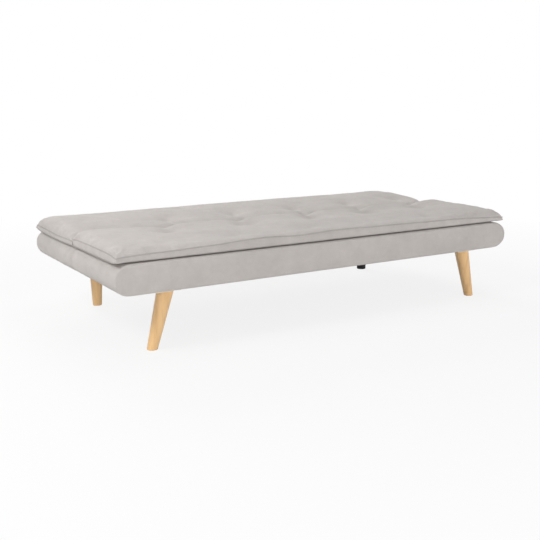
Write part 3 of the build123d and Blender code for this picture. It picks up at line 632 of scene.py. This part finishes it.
def tufting(half, x, a, depth, sizes):
    """How far the tufts, and the folds that run from them, draw the cloth down at each place."""
    tufts = np.asarray(TUFTS[half])
    pull = np.zeros_like(x)
    for tx, ta in tufts:
        strength = (1.0 if ta < NEAR_CREASE else OUTER_ROW_STRENGTH) * TUFT_STRENGTH[half]
        distance = np.hypot((x - tx) * HOLLOW_SQUEEZE, a - ta)
        pull += sizes.tuft_depth * strength * dent(distance, sizes.tuft_reach)
    folds = [(tufts[first], tufts[second], TUFT_FOLD) for first, second in FOLDS]
    for tx, ta in tufts:
        if ta < NEAR_CREASE:
            folds.append(((tx, ta), (tx + 12 * MM, sizes.valley_gap + 20 * MM), CREASE_FOLD))
        elif half == "seat":
            folds.append(((tx, ta), (tx - 20 * MM, depth - 40 * MM), FRONT_FOLD))
    for start, end, (fold_depth, width) in folds:
        pull += fold_depth * crease_line(x, a, start, end, width)
    return np.minimum(pull, DEEPEST_PULL)


def top_height(half, x, a, depth, sizes):
    """Height of the pillow top above the floor at each place."""
    from_end = HALF_LENGTH - np.abs(x)
    near = np.clip((a - sizes.valley_gap) / (sizes.roll_run * ROLL_WIDENING[half]), 0, 1)
    edge = seam_height(half, x, a, depth, near)
    rise = rounded_both(dome(from_end / sizes.crown_run, END_FULLNESS),
                        dome((depth - a) / sizes.crown_run, OUTER_FULLNESS)) * dome(near, ROLL_FULLNESS[half])
    # the seat leans towards its front, the back towards the crease, and less so near the ends
    lean = 13 * MM * a / depth if half == "seat" else 16 * MM * (1 - a / depth) ** 2
    crown = CROWN_Z - 1 * MM - lean * (0.3 + 0.7 * soft_step(from_end, 0, 260 * MM))
    return edge + (crown - edge) * rise - tufting(half, x, a, depth, sizes) * (0.3 + 0.7 * rise)


def top_grid(half, sizes):
    """The grid of places x and a on one pillow top, and its depth from the crease."""
    depth = CREASE_Y - FRONT_Y if half == "seat" else FAR_Y - CREASE_Y
    gap = sizes.valley_gap
    columns = np.concatenate([
        -HALF_LENGTH + EDGE_STEPS,
        np.linspace(-HALF_LENGTH + 36 * MM, HALF_LENGTH - 36 * MM, TOP_COLUMNS),
        HALF_LENGTH - EDGE_STEPS[::-1]])
    rows = np.concatenate([
        gap + EDGE_STEPS, np.linspace(gap + 35 * MM, depth - 36 * MM, TOP_ROWS), depth - EDGE_STEPS[::-1]])
    return *np.meshgrid(columns, rows), depth


def placed(half, x, a, z):
    """Points of a pillow top from places along the bed, away from the crease and up."""
    return np.stack([x, CREASE_Y + OUTWARD[half] * a, z], -1)


def top_panel(half, x, a, depth, sizes):
    """Points of the tufted upper panel, its edge drawn in a little except at the eared corners."""
    corner = np.exp(-(HALF_LENGTH - np.abs(x) + depth - a) / (45 * MM))
    drawn_in = 5 * MM + 0.25 * sizes.ear * (1 - corner)
    flat_x = x * (1 - drawn_in / HALF_LENGTH * soft_step(np.abs(x) / HALF_LENGTH, 0.9, 1.0))
    flat_a = a - drawn_in * soft_step(a / depth, 0.85, 1.0)
    return placed(half, flat_x, flat_a, top_height(half, x, a, depth, sizes))


def under_panel(half, x, a, depth, sizes):
    """Points of the underside, which lifts along its rim, hangs at the ends and is pinched at the corners."""
    from_end, from_outer = HALF_LENGTH - np.abs(x), depth - a
    gap = sizes.valley_gap
    pinch = np.exp(-(from_end + from_outer) / (35 * MM))
    inset = UNDER_INSET * (1 - 0.6 * pinch)
    low_x = x * (1 - inset / HALF_LENGTH)
    low_a = gap + UNDER_INSET + (a - gap) * (depth - gap - UNDER_INSET - inset) / (depth - gap)
    lift = 3.8 * MM * (1 - soft_step(np.minimum(from_end, from_outer), 0, 26 * MM)) + 3 * MM * pinch
    hang = CREASE_HANG + END_HANG[half] * soft_step(a, 0, 120 * MM)
    droop = hang * (1 - soft_step(from_end, 0, 32 * MM)) * (1 - 0.8 * pinch)
    return placed(half, low_x, low_a, BASE_TOP + 0.8 * MM + lift - droop)


def rim_of(height, width):
    """Rows and columns round the rim of a grid."""
    rim = ([(0, i) for i in range(width)] + [(j, width - 1) for j in range(1, height)]
           + [(height - 1, i) for i in range(width - 2, -1, -1)] + [(j, 0) for j in range(height - 2, 0, -1)])
    return tuple(np.array(rim).T)


def boxing_band(half, seam, foot, rim, shape):
    """Rings of points from the upper seam down to the foot, bulging outwards."""
    rows, columns = rim
    bulge = np.zeros_like(seam)
    bulge[:, 0] = np.where((columns == 0) | (columns == shape[1] - 1), np.sign(seam[:, 0]), 0)
    bulge[:, 1] = OUTWARD[half] * (np.where(rows == shape[0] - 1, 1, 0) - np.where(rows == 0, 0.15, 0))
    bulge /= np.maximum(np.linalg.norm(bulge, axis=1, keepdims=True), 1)
    wave = ripple(seam, 9.0, BAND_SEED[half])[:, None]
    rings = []
    for share, out, drop in BAND_RINGS:
        ring = seam * (1 - share) + foot * share + bulge * out * MM * (1 + 0.25 * wave)
        ring[:, 2] = seam[:, 2] * (1 - drop) + foot[:, 2] * drop
        rings.append(ring)
    return rings


def pillow_faces(half, rim, shape):
    """Faces of the upper panel, the underside and the band, and the point numbers of the upper seam."""
    height, width = shape
    count, around = height * width, len(rim[0])
    index = np.arange(count).reshape(shape)
    under = count + len(BAND_RINGS) * around
    loops = [index[rim]] + [count + number * around + np.arange(around) for number in range(len(BAND_RINGS))]
    loops.append(under + index[rim])
    faces = []
    for j in range(height - 1):
        for i in range(width - 1):
            quad = (index[j, i], index[j, i + 1], index[j + 1, i + 1], index[j + 1, i])
            faces += [quad, tuple(under + k for k in quad)[::-1]]
    for first, second in zip(loops[:-1], loops[1:]):
        for k in range(around):
            m = (k + 1) % around
            faces.append((first[k], second[k], second[m], first[m]))
    if OUTWARD[half] < 0:
        faces = [face[::-1] for face in faces]
    return faces, loops[0]


def simulate(piece, sewn):
    """Cloth simulation of a padded piece under inner pressure; returns where its points end."""
    scene = bpy.context.scene
    group = piece.vertex_groups.new(name="sewn")
    for index, weight in enumerate(sewn):
        if weight > 0:
            group.add([index], float(weight), "REPLACE")
    cloth = piece.modifiers.new("padding", "CLOTH")
    settings = cloth.settings
    settings.quality = 5
    settings.mass = 0.25
    settings.tension_stiffness = settings.compression_stiffness = 14
    settings.shear_stiffness = 8
    settings.bending_stiffness = 0.35
    settings.vertex_group_mass = "sewn"
    settings.pin_stiffness = 1.0
    settings.shrink_min = -0.035
    settings.use_pressure = True
    settings.uniform_pressure_force = 3.0
    settings.effector_weights.gravity = 0
    cloth.collision_settings.use_collision = False
    cloth.point_cache.frame_start = 1
    cloth.point_cache.frame_end = SIM_FRAMES
    for step in range(1, SIM_FRAMES + 1):
        scene.frame_set(step)
    graph = bpy.context.evaluated_depsgraph_get()
    swollen = piece.evaluated_get(graph).to_mesh()
    places = np.zeros(len(swollen.vertices) * 3)
    swollen.vertices.foreach_get("co", places)
    piece.evaluated_get(graph).to_mesh_clear()
    piece.modifiers.clear()
    piece.vertex_groups.clear()
    scene.frame_set(1)
    return places.reshape(-1, 3)


def swell(piece, half, sewn):
    """Moves the cloth as the simulation does, within a limit, and less towards the back's far edge."""
    before = read_points(piece)
    move = simulate(piece, sewn) - before
    reach = np.linalg.norm(move, axis=1, keepdims=True)
    move *= np.minimum(1.0, MOST_SWELL / np.maximum(reach, TINY))
    if half == "back":
        move *= soft_step(FAR_Y - before[:, 1:2], 30 * MM, 220 * MM)
    move[sewn > 0] = 0
    write_points(piece, before + move)


def wrinkle(piece, half, depth):
    """Adds fine wrinkles over the top and gathers that fan from its corners."""
    places = read_points(piece)
    seed = WRINKLE_SEED[half]
    height = 0.8 * MM * ripple(places * (1.0, 1.6, 1.0), 16.0, seed)
    height += 0.45 * MM * ripple(places, 48.0, seed + 4)
    from_end = HALF_LENGTH - np.abs(places[:, 0])
    from_outer = depth - OUTWARD[half] * (places[:, 1] - CREASE_Y)
    from_corner = np.hypot(from_end, from_outer)
    fan = np.sin(np.arctan2(from_outer, from_end) * GATHERS + np.sign(places[:, 0]))
    height += 3.6 * MM * fan * np.exp(-from_corner / (48 * MM)) * soft_step(from_corner, 8 * MM, 30 * MM)
    places[:, 2] += soft_step(places[:, 2], CREASE_SEAM, CREASE_SEAM + 16 * MM) * height
    write_points(piece, places)


def pillow_top(half, sizes):
    """One pillow top as a closed form, with the lines of its upper seam and of its band's foot."""
    x, a, depth = top_grid(half, sizes)
    upper = top_panel(half, x, a, depth, sizes)
    lower = under_panel(half, x, a, depth, sizes)
    rim = rim_of(*x.shape)
    seam, foot = upper[rim], lower[rim]
    band = boxing_band(half, seam, foot, rim, x.shape)
    faces, seam_points = pillow_faces(half, rim, x.shape)
    points = np.concatenate([upper.reshape(-1, 3), *band, lower.reshape(-1, 3)])
    piece = mesh_object(f"{half}_pillow_top", points, faces, "cover_cloth")
    sewn = np.zeros(len(points))
    sewn[x.size:] = 1.0  # the band and the underside
    sewn[seam_points] = 1.0
    swell(piece, half, sewn)
    subdivide(piece)
    wrinkle(piece, half, depth)
    return piece, seam, foot


def piping_lines(seam, foot):
    """Name, line and share of the full thickness of the upper and of the lower piping."""
    upper = seam - (0, 0, 0.3 * MM)
    lower = foot * 0.35 + seam * 0.65
    lower[:, 2] = foot[:, 2] + 2.2 * MM
    at_end = np.abs(seam[:, 0]) > HALF_LENGTH - 20 * MM
    lower[:, 0] += np.sign(seam[:, 0]) * np.where(at_end, 2.0 * MM, 0)
    return ("upper", upper, 1.0), ("lower", lower, 0.85)


def blended(piece):
    """Bakes the piece's placement into its mesh."""
    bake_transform(piece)


def cloth_piece(piece):
    """Hands back the cover piece unchanged."""
    return piece


class SOFABED_OT_pillow_tops(bpy.types.Operator):
    """Adds the two tufted pillow tops with their boxing bands and piping"""
    bl_idname = "sofa_bed.pillow_tops"
    bl_label = "Pillow tops"

    def execute(self, context):
        sizes = context.scene.sofa_bed_sizes
        for half in BODIES:
            piece, seam, foot = pillow_top(half, sizes)
            blended(cloth_piece(piece))
            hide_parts(f"{half}_topper")
            for level, line, share in piping_lines(seam, foot):
                # their darker cloth is painted shade of the groove along the seam
                cord = cord_loop(f"{half}_{level}_piping", line, sizes.piping_radius * share, "piping_cloth")
                blended(cloth_piece(cord))
        return {"FINISHED"}


# ---- base covers ----

ACROSS = 90  # points along the top of an outline of the base
LEFT_MIDDLE = 2 * ACROSS + 25  # the outline's point in the middle of the left end
OUTER_END_SHARE = {"seat": 0.35, "back": 0.45}  # of an inset that also draws the ends in
CREASE_END_SHARE = 0.5
PANEL_PUFF = {"seat": 7.5, "back": 4.0}  # millimetres
COVER_SEED, SEAM_SEED = {"seat": 21, "back": 22}, 31
# folds of the back's ends beside the crease: start and end as (y, z), half width and depth
PUCKERS = (((0.0, 0.318), (0.066, 0.262), 7 * MM, 3.5), ((0.012, 0.324), (0.080, 0.268), 9 * MM, -1.6))


def stadium(inset, y, sizes, across=ACROSS, ends=1.0):
    """Closed outline of the base seen from the front, drawn in by inset, and by a share of it at the ends."""
    straight = HALF_LENGTH - sizes.end_radius
    half_x, half_z = HALF_LENGTH - inset * ends, (BASE_TOP - BASE_LOW) / 2 - inset
    radius = max(0.6 * MM, min(sizes.end_radius - inset, half_z - 0.05 * MM))
    inner_x, inner_z = half_x - radius, half_z - radius
    run = np.linspace(-straight, straight, across) * inner_x / straight
    wall = np.linspace(inner_z, -inner_z, 3)
    arc = np.linspace(0, pi / 2, 9)[1:-1]

    def corner(cx, cz, start):
        return [(cx + radius * sin(start + t), cz + radius * cos(start + t)) for t in arc]

    points = [(x, half_z) for x in run] + corner(inner_x, inner_z, 0)
    points += [(half_x, z) for z in wall] + corner(inner_x, -inner_z, pi / 2)
    points += [(x, -half_z) for x in run[::-1]] + corner(-inner_x, -inner_z, pi)
    points += [(-half_x, z) for z in wall[::-1]] + corner(-inner_x, inner_z, 1.5 * pi)
    middle = (BASE_TOP + BASE_LOW) / 2
    return np.array([(px, y, middle + pz) for px, pz in points])


def outer_radius(half, sizes):
    """Rounding of the base's edge away from the crease."""
    return sizes.seam_radius if half == "seat" else sizes.far_radius


def base_rings(half, outer, sizes):
    """Rings of one base half, from its outer face to the crease."""
    sign = OUTWARD[half]
    inner = CREASE_Y + sign * 1 * MM
    edge, roll, share = outer_radius(half, sizes), sizes.crease_radius, OUTER_END_SHARE[half]
    rings = [stadium(inset, outer, sizes, ends=share) for inset in (edge + 5 * MM, edge)]
    for t in np.linspace(0, pi / 2, 5 if half == "seat" else 8)[1:]:
        rings.append(stadium(edge * (1 - sin(t)), outer - sign * edge * (1 - cos(t)), sizes, ends=share))
    for y in np.linspace(outer - sign * edge, inner + sign * roll, 20)[1:-1]:
        rings.append(stadium(0, y, sizes))
    for t in np.linspace(0, pi / 2, 7):
        rings.append(stadium(roll * (1 - cos(t)), inner + sign * roll * (1 - sin(t)), sizes,
                             ends=CREASE_END_SHARE))
    rings.append(stadium(roll + 5 * MM, inner, sizes, ends=CREASE_END_SHARE))
    return rings


def stuffing(z):
    """1 halfway up the base, falling to 0 at its lower and upper edge."""
    return np.sin(np.clip((z - BASE_LOW) / (BASE_TOP - BASE_LOW), 0, 1) * pi)


def end_bulge(places, half):
    """How far the stuffed ends of the base stand out sideways at each place; the left end is fuller."""
    at_end = 1 - soft_step(HALF_LENGTH - np.abs(places[:, 0]), 0, 70 * MM)
    if half == "seat":
        out = 2.5 + 4.5 * np.exp(-((places[:, 1] - FRONT_Y) / (170 * MM)) ** 2)
    else:
        out = 5.0 + np.sin(np.clip((places[:, 1] - CREASE_Y) / (FAR_Y - CREASE_Y), 0, 1) * pi)
    fuller = np.where(places[:, 0] < 0, 1.0, 0.6)
    return np.sign(places[:, 0]) * at_end * fuller * stuffing(places[:, 2]) ** 0.7 * out * MM


def box_points(low, high):
    """The eight corners of a box, in the order that BOX_FACES needs."""
    return [(high[0] if i & 1 else low[0], high[1] if i & 2 else low[1], high[2] if i & 4 else low[2])
            for i in range(8)]


def slit(piece, side):
    """Cuts the opening for one pair of hinge leaves."""
    near, far = side * (LEAF_LOW.x - 4 * MM), side * (LEAF_HIGH.x + 4 * MM)
    corners = box_points((min(near, far), CREASE_Y - 20 * MM, LEAF_LOW.z + 8 * MM),
                         (max(near, far), CREASE_Y + 20 * MM, LEAF_HIGH.z + 9 * MM))
    cutter = mesh_object("slit_cutter", corners, BOX_FACES, "cover_cloth", smooth=False)
    cut = piece.modifiers.new("slit", "BOOLEAN")
    cut.operation = "DIFFERENCE"
    cut.object = cutter
    apply_modifiers(piece)
    bpy.data.objects.remove(cutter)


def soften_cover(piece, half, outer):
    """Puffs the outer panel and the ends of a base cover, and gives it its waves and puckers."""
    places = read_points(piece)
    face = 1 - soft_step(np.abs(places[:, 1] - outer), 0, 10 * MM)
    under = soft_step(places[:, 2], BASE_LOW + 1 * MM, BASE_LOW + 12 * MM)
    level = soft_step(BASE_TOP - places[:, 2], 1 * MM, 14 * MM)
    puff = stuffing(places[:, 2]) ** 0.6
    wave = ripple(places * (1.0, 1.0, 0.55), 7.0, COVER_SEED[half])
    fine = ripple(places, 30.0, COVER_SEED[half] + 3)
    places[:, 1] += OUTWARD[half] * face * (PANEL_PUFF[half] * puff + wave * puff + 0.35 * fine) * MM
    ends = (1 - soft_step(HALF_LENGTH - np.abs(places[:, 0]), 10 * MM, 70 * MM)) * (1 - face)
    places[:, 0] += np.sign(places[:, 0]) * ends * (1.2 * wave + 0.5 * fine) * MM
    places[:, 2] += (1 - ends) * (1 - face) * level * under * 0.3 * fine * MM
    if half == "back":
        folds = sum(deep * crease_line(places[:, 1], places[:, 2], start, end, width)
                    for start, end, width, deep in PUCKERS)
        places[:, 0] -= np.sign(places[:, 0]) * ends * folds * MM
    places[:, 0] += end_bulge(places, half)
    write_points(piece, places)


def base_cover(half, sizes):
    """One padded base half in its tailored cover."""
    outer = FRONT_Y if half == "seat" else FAR_Y
    points, faces = loft(base_rings(half, outer, sizes), LEFT_MIDDLE)
    if half == "back":
        faces = [face[::-1] for face in faces]
    piece = mesh_object(f"{half}_base_cover", points, faces, "cover_cloth")
    subdivide(piece)
    soften_cover(piece, half, outer)
    for side in (-1, 1):
        slit(piece, side)
    return piece


def panel_seam(half, sizes):
    """The sewn line round the outer panel of a base cover."""
    edge = outer_radius(half, sizes)
    inset, y = (edge * 0.55, FRONT_Y - 0.2 * MM) if half == "seat" else (edge, FAR_Y - 0.2 * MM)
    path = stadium(inset, y, sizes, 2 * ACROSS, OUTER_END_SHARE[half])
    path[:, 2] += 0.35 * MM * ripple(path, 12.0, SEAM_SEED)
    path[:, 0] += end_bulge(path, half)
    return cord_loop(f"{half}_panel_piping", path, sizes.piping_radius * 0.6, "cover_cloth")


class SOFABED_OT_base_covers(bpy.types.Operator):
    """Adds the tailored covers of the seat and back bases with their sewn edges"""
    bl_idname = "sofa_bed.base_covers"
    bl_label = "Base covers"

    def execute(self, context):
        sizes = context.scene.sofa_bed_sizes
        for half, body in BODIES.items():
            piece = cloth_piece(base_cover(half, sizes))
            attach(piece, body)
            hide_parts(f"{half}_cover", f"{half}_foam")
            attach(cloth_piece(panel_seam(half, sizes)), body)
        return {"FINISHED"}


# ---- dust covers ----

SHEET_SAG, SHEET_WAVE = 2.2, 0.3  # millimetres


def dust_cover(half):
    """Thin sheet stretched across the underside, sagging a little between the cross rails."""
    low, high = SHEET_BOXES[half]
    x, y = np.meshgrid(np.linspace(low.x, high.x, 121), np.linspace(low.y, high.y, 31))
    bays = (low.x, -RAIL_HIGH.x, RAIL_HIGH.x, high.x)
    bay = np.clip(np.searchsorted(bays, x) - 1, 0, 2)
    along = (x - np.take(bays, bay)) / np.take(np.diff(bays), bay)
    across = (y - low.y) / (high.y - low.y)
    hang = np.sin(along * pi) * np.sin(np.clip(across, 0, 1) * pi)
    z = low.z - 0.4 * MM - hang * (SHEET_SAG + SHEET_WAVE * np.sin(x * 55 + y * 20)) * MM
    index = np.arange(x.size).reshape(x.shape)
    faces = [(index[j, i], index[j + 1, i], index[j + 1, i + 1], index[j, i + 1])
             for j in range(x.shape[0] - 1) for i in range(x.shape[1] - 1)]
    piece = mesh_object(f"{half}_dust_sheet", np.stack([x, y, z], -1).reshape(-1, 3), faces, "dust_cloth")
    thick = piece.modifiers.new("thickness", "SOLIDIFY")
    thick.thickness = 0.5 * MM
    thick.offset = 0
    apply_modifiers(piece)
    return piece, (high.x - low.x, high.y - low.y)


def staples(half):
    """Wire staples round the edge of a dust sheet."""
    low, high = SHEET_BOXES[half]
    inset, reach, wire = 7 * MM, 5 * MM, 0.55 * MM
    places = []
    for x in np.arange(low.x + 30 * MM, high.x - 20 * MM, 62 * MM):
        places += [(x, y, reach, wire) for y in (low.y + inset, high.y - inset)]
    for y in np.arange(low.y + 40 * MM, high.y - 30 * MM, 58 * MM):
        places += [(x, y, wire, reach) for x in (low.x + inset, high.x - inset)]
    points, faces = [], []
    z = low.z - 0.65 * MM - wire
    for x, y, half_x, half_y in places:
        faces += [tuple(len(points) + k for k in face) for face in BOX_FACES]
        points += box_points((x - half_x, y - half_y, z - wire), (x + half_x, y + half_y, z + wire))
    return mesh_object(f"{half}_sheet_staples", points, faces, "zinc_steel", smooth=False)


class SOFABED_OT_dust_covers(bpy.types.Operator):
    """Adds the thin sheets that close the underside of each base"""
    bl_idname = "sofa_bed.dust_covers"
    bl_label = "Dust covers"

    def execute(self, context):
        for half, body in BODIES.items():
            piece, flat = dust_cover(half)
            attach(piece, body)
            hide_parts(f"{half}_dust_cover")
            wires = staples(half)
            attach(wires, body)
        return {"FINISHED"}


# ---- finishes of the solid parts ----

class SOFABED_OT_frame_finishes(bpy.types.Operator):
    """Gives the wooden legs, steel hinge parts, rubber and hidden frame their finishes"""
    bl_idname = "sofa_bed.frame_finishes"
    bl_label = "Frame finishes"

    def execute(self, context):
        slots = {part["node"]: part["material_slot"] for part in frame["record"]["subparts"]}
        for name, node in frame["nodes"].items():
            finish = FINISHES[slots[name]]
            if not node.data.materials:
                node.data.materials.append(finish)
            for slot in node.material_slots:
                slot.material = finish
        return {"FINISHED"}


# ---- stage ----

AMBIENT = 0.32
WHITE = (1, 1, 1, 1)
LAMPS = (
    # name, place, aimed at, width and height, watts
    ("side_softbox", (-3.4, -0.4, 3.3), (0, 0, 0.3), (1.3, 1.3), 29),
    ("low_softbox", (-2.6, -2.0, 0.9), (-0.7, -0.2, 0.27), (0.9, 0.9), 11),
    ("near_softbox", (-2.4, -0.55, 2.0), (-0.4, 0, 0.3), (1.0, 1.0), 18),
    ("fill_softbox", (2.2, -4.2, 0.9), (0.2, 0, 0.25), (1.6, 1.6), 20),
    ("front_strip", (0.6, -3.4, 0.26), (0.3, 0, 0.27), (3.0, 0.3), 24),
    ("far_softbox", (0.4, 5.2, 3.4), (0.1, 0, 0.3), (3.2, 1.9), 140),
    ("top_softbox", (1.4, 1.0, 3.8), (0.3, 0, 0.3), (2.4, 2.4), 26),
)
CAMERA_PLACE = (-1.894, -3.023, 0.896)
CAMERA_DOWN, CAMERA_TURN = 0.21263, 0.55282  # radians below the level, and clockwise from +y
CAMERA_LENS, SENSOR_WIDTH = 56.36, 36  # millimetres
FLOOR_HALF = 14.0
FADE_START, FADE_RUN = 1.3, 1.6  # the shadow fades out over this run from this far away


def shadow_floor_finish(name):
    """Pale floor that shows white to the camera yet keeps the shadow."""
    shader, point, _ = material(name)
    speck = shader.noise(point, 3.0, 2.0)
    seen = shader.seen_by_camera()
    away = shader.node("ShaderNodeVectorMath", {"operation": "LENGTH"}, {0: point})[1]
    fade = ((away - FADE_START) / FADE_RUN).clamped()
    surface = shader.node("ShaderNodeBsdfDiffuse", None, {
        "Color": shader.mix(speck, (0.80, 0.80, 0.80, 1), (0.82, 0.82, 0.82, 1))})[0]
    glow = shader.node("ShaderNodeEmission", None, {"Color": WHITE, "Strength": 1.0})[0]
    mixed = shader.node("ShaderNodeMixShader", None,
                        {0: seen * (fade * 0.15 + 0.85), 1: surface, 2: glow})[0]
    shader.node("ShaderNodeOutputMaterial", None, {"Surface": mixed})
    return shader.owner


def studio_world():
    """White to the camera, and an even dim light on the sofa."""
    shader = Shader(bpy.data.worlds.new("studio"))
    seen = shader.seen_by_camera()
    ambient, white = (shader.node("ShaderNodeBackground", None, {"Color": WHITE, "Strength": strength})[0]
                      for strength in (AMBIENT, 1.0))
    mixed = shader.node("ShaderNodeMixShader", None, {0: seen, 1: ambient, 2: white})[0]
    shader.node("ShaderNodeOutputWorld", None, {"Surface": mixed})
    return shader.owner


class SOFABED_OT_stage(bpy.types.Operator):
    """Adds the pale floor, the soft studio light and the camera"""
    bl_idname = "sofa_bed.stage"
    bl_label = "Stage"

    def execute(self, context):
        scene = context.scene
        camera = bpy.data.objects.new("camera", bpy.data.cameras.new("camera"))
        camera.data.sensor_width = SENSOR_WIDTH
        camera.data.lens = CAMERA_LENS
        camera.location = CAMERA_PLACE
        camera.rotation_euler = (pi / 2 - CAMERA_DOWN, 0, -CAMERA_TURN)
        scene.collection.objects.link(camera)
        scene.camera = camera
        corners = [(x * FLOOR_HALF, y * FLOOR_HALF, 0) for x, y in ((-1, -1), (1, -1), (1, 1), (-1, 1))]
        FINISHES["floor"] = shadow_floor_finish("studio_floor")
        floor = mesh_object("studio_floor", corners, [(0, 1, 2, 3)], "floor", smooth=False)
        for name, place, target, spread, power in LAMPS:
            lamp = bpy.data.lights.new(name, "AREA")
            lamp.shape = "RECTANGLE" if spread[0] > 2 * spread[1] else "ELLIPSE"
            lamp.size, lamp.size_y = spread
            lamp.energy = power
            made = bpy.data.objects.new(name, lamp)
            made.location = place
            aim = Vector(target) - Vector(place)
            made.rotation_euler = aim.to_track_quat("-Z", "Y").to_euler()
            scene.collection.objects.link(made)
        scene.world = studio_world()
        scene.view_settings.view_transform = "Standard"
        return {"FINISHED"}


class SOFABED_PT_panel(bpy.types.Panel):
    """Lists the steps of the dressing and its sizes and colours"""
    bl_idname = "SOFABED_PT_panel"
    bl_label = "Sofa Bed"
    bl_space_type = "VIEW_3D"
    bl_region_type = "UI"
    bl_category = "Sofa Bed"

    def draw(self, context):
        for group in (context.scene.sofa_bed_sizes, context.scene.sofa_bed_colours):
            for name in group.bl_rna.properties.keys():
                if name not in ("rna_type", "name"):
                    self.layout.prop(group, name)
        for step in STEPS:
            self.layout.operator(step.bl_idname)


STEPS = (SOFABED_OT_stage, SOFABED_OT_frame_finishes, SOFABED_OT_base_covers,
         SOFABED_OT_dust_covers, SOFABED_OT_pillow_tops)
CLASSES = (SofaBedSizes, SofaBedColours, *STEPS, SOFABED_PT_panel)


def register():
    """Registers the classes and adds their settings to the scene."""
    for made in CLASSES:
        bpy.utils.register_class(made)
    bpy.types.Scene.sofa_bed_sizes = bpy.props.PointerProperty(type=SofaBedSizes)
    bpy.types.Scene.sofa_bed_colours = bpy.props.PointerProperty(type=SofaBedColours)


def unregister():
    """Takes back what register did."""
    del bpy.types.Scene.sofa_bed_sizes
    del bpy.types.Scene.sofa_bed_colours
    for made in reversed(CLASSES):
        bpy.utils.unregister_class(made)


def main():
    """Runs every step."""
    register()
    FINISHES.update(make_finishes())
    for step in STEPS:
        module, name = step.bl_idname.split(".")
        getattr(getattr(bpy.ops, module), name)()


if __name__ == "__main__":
    main()
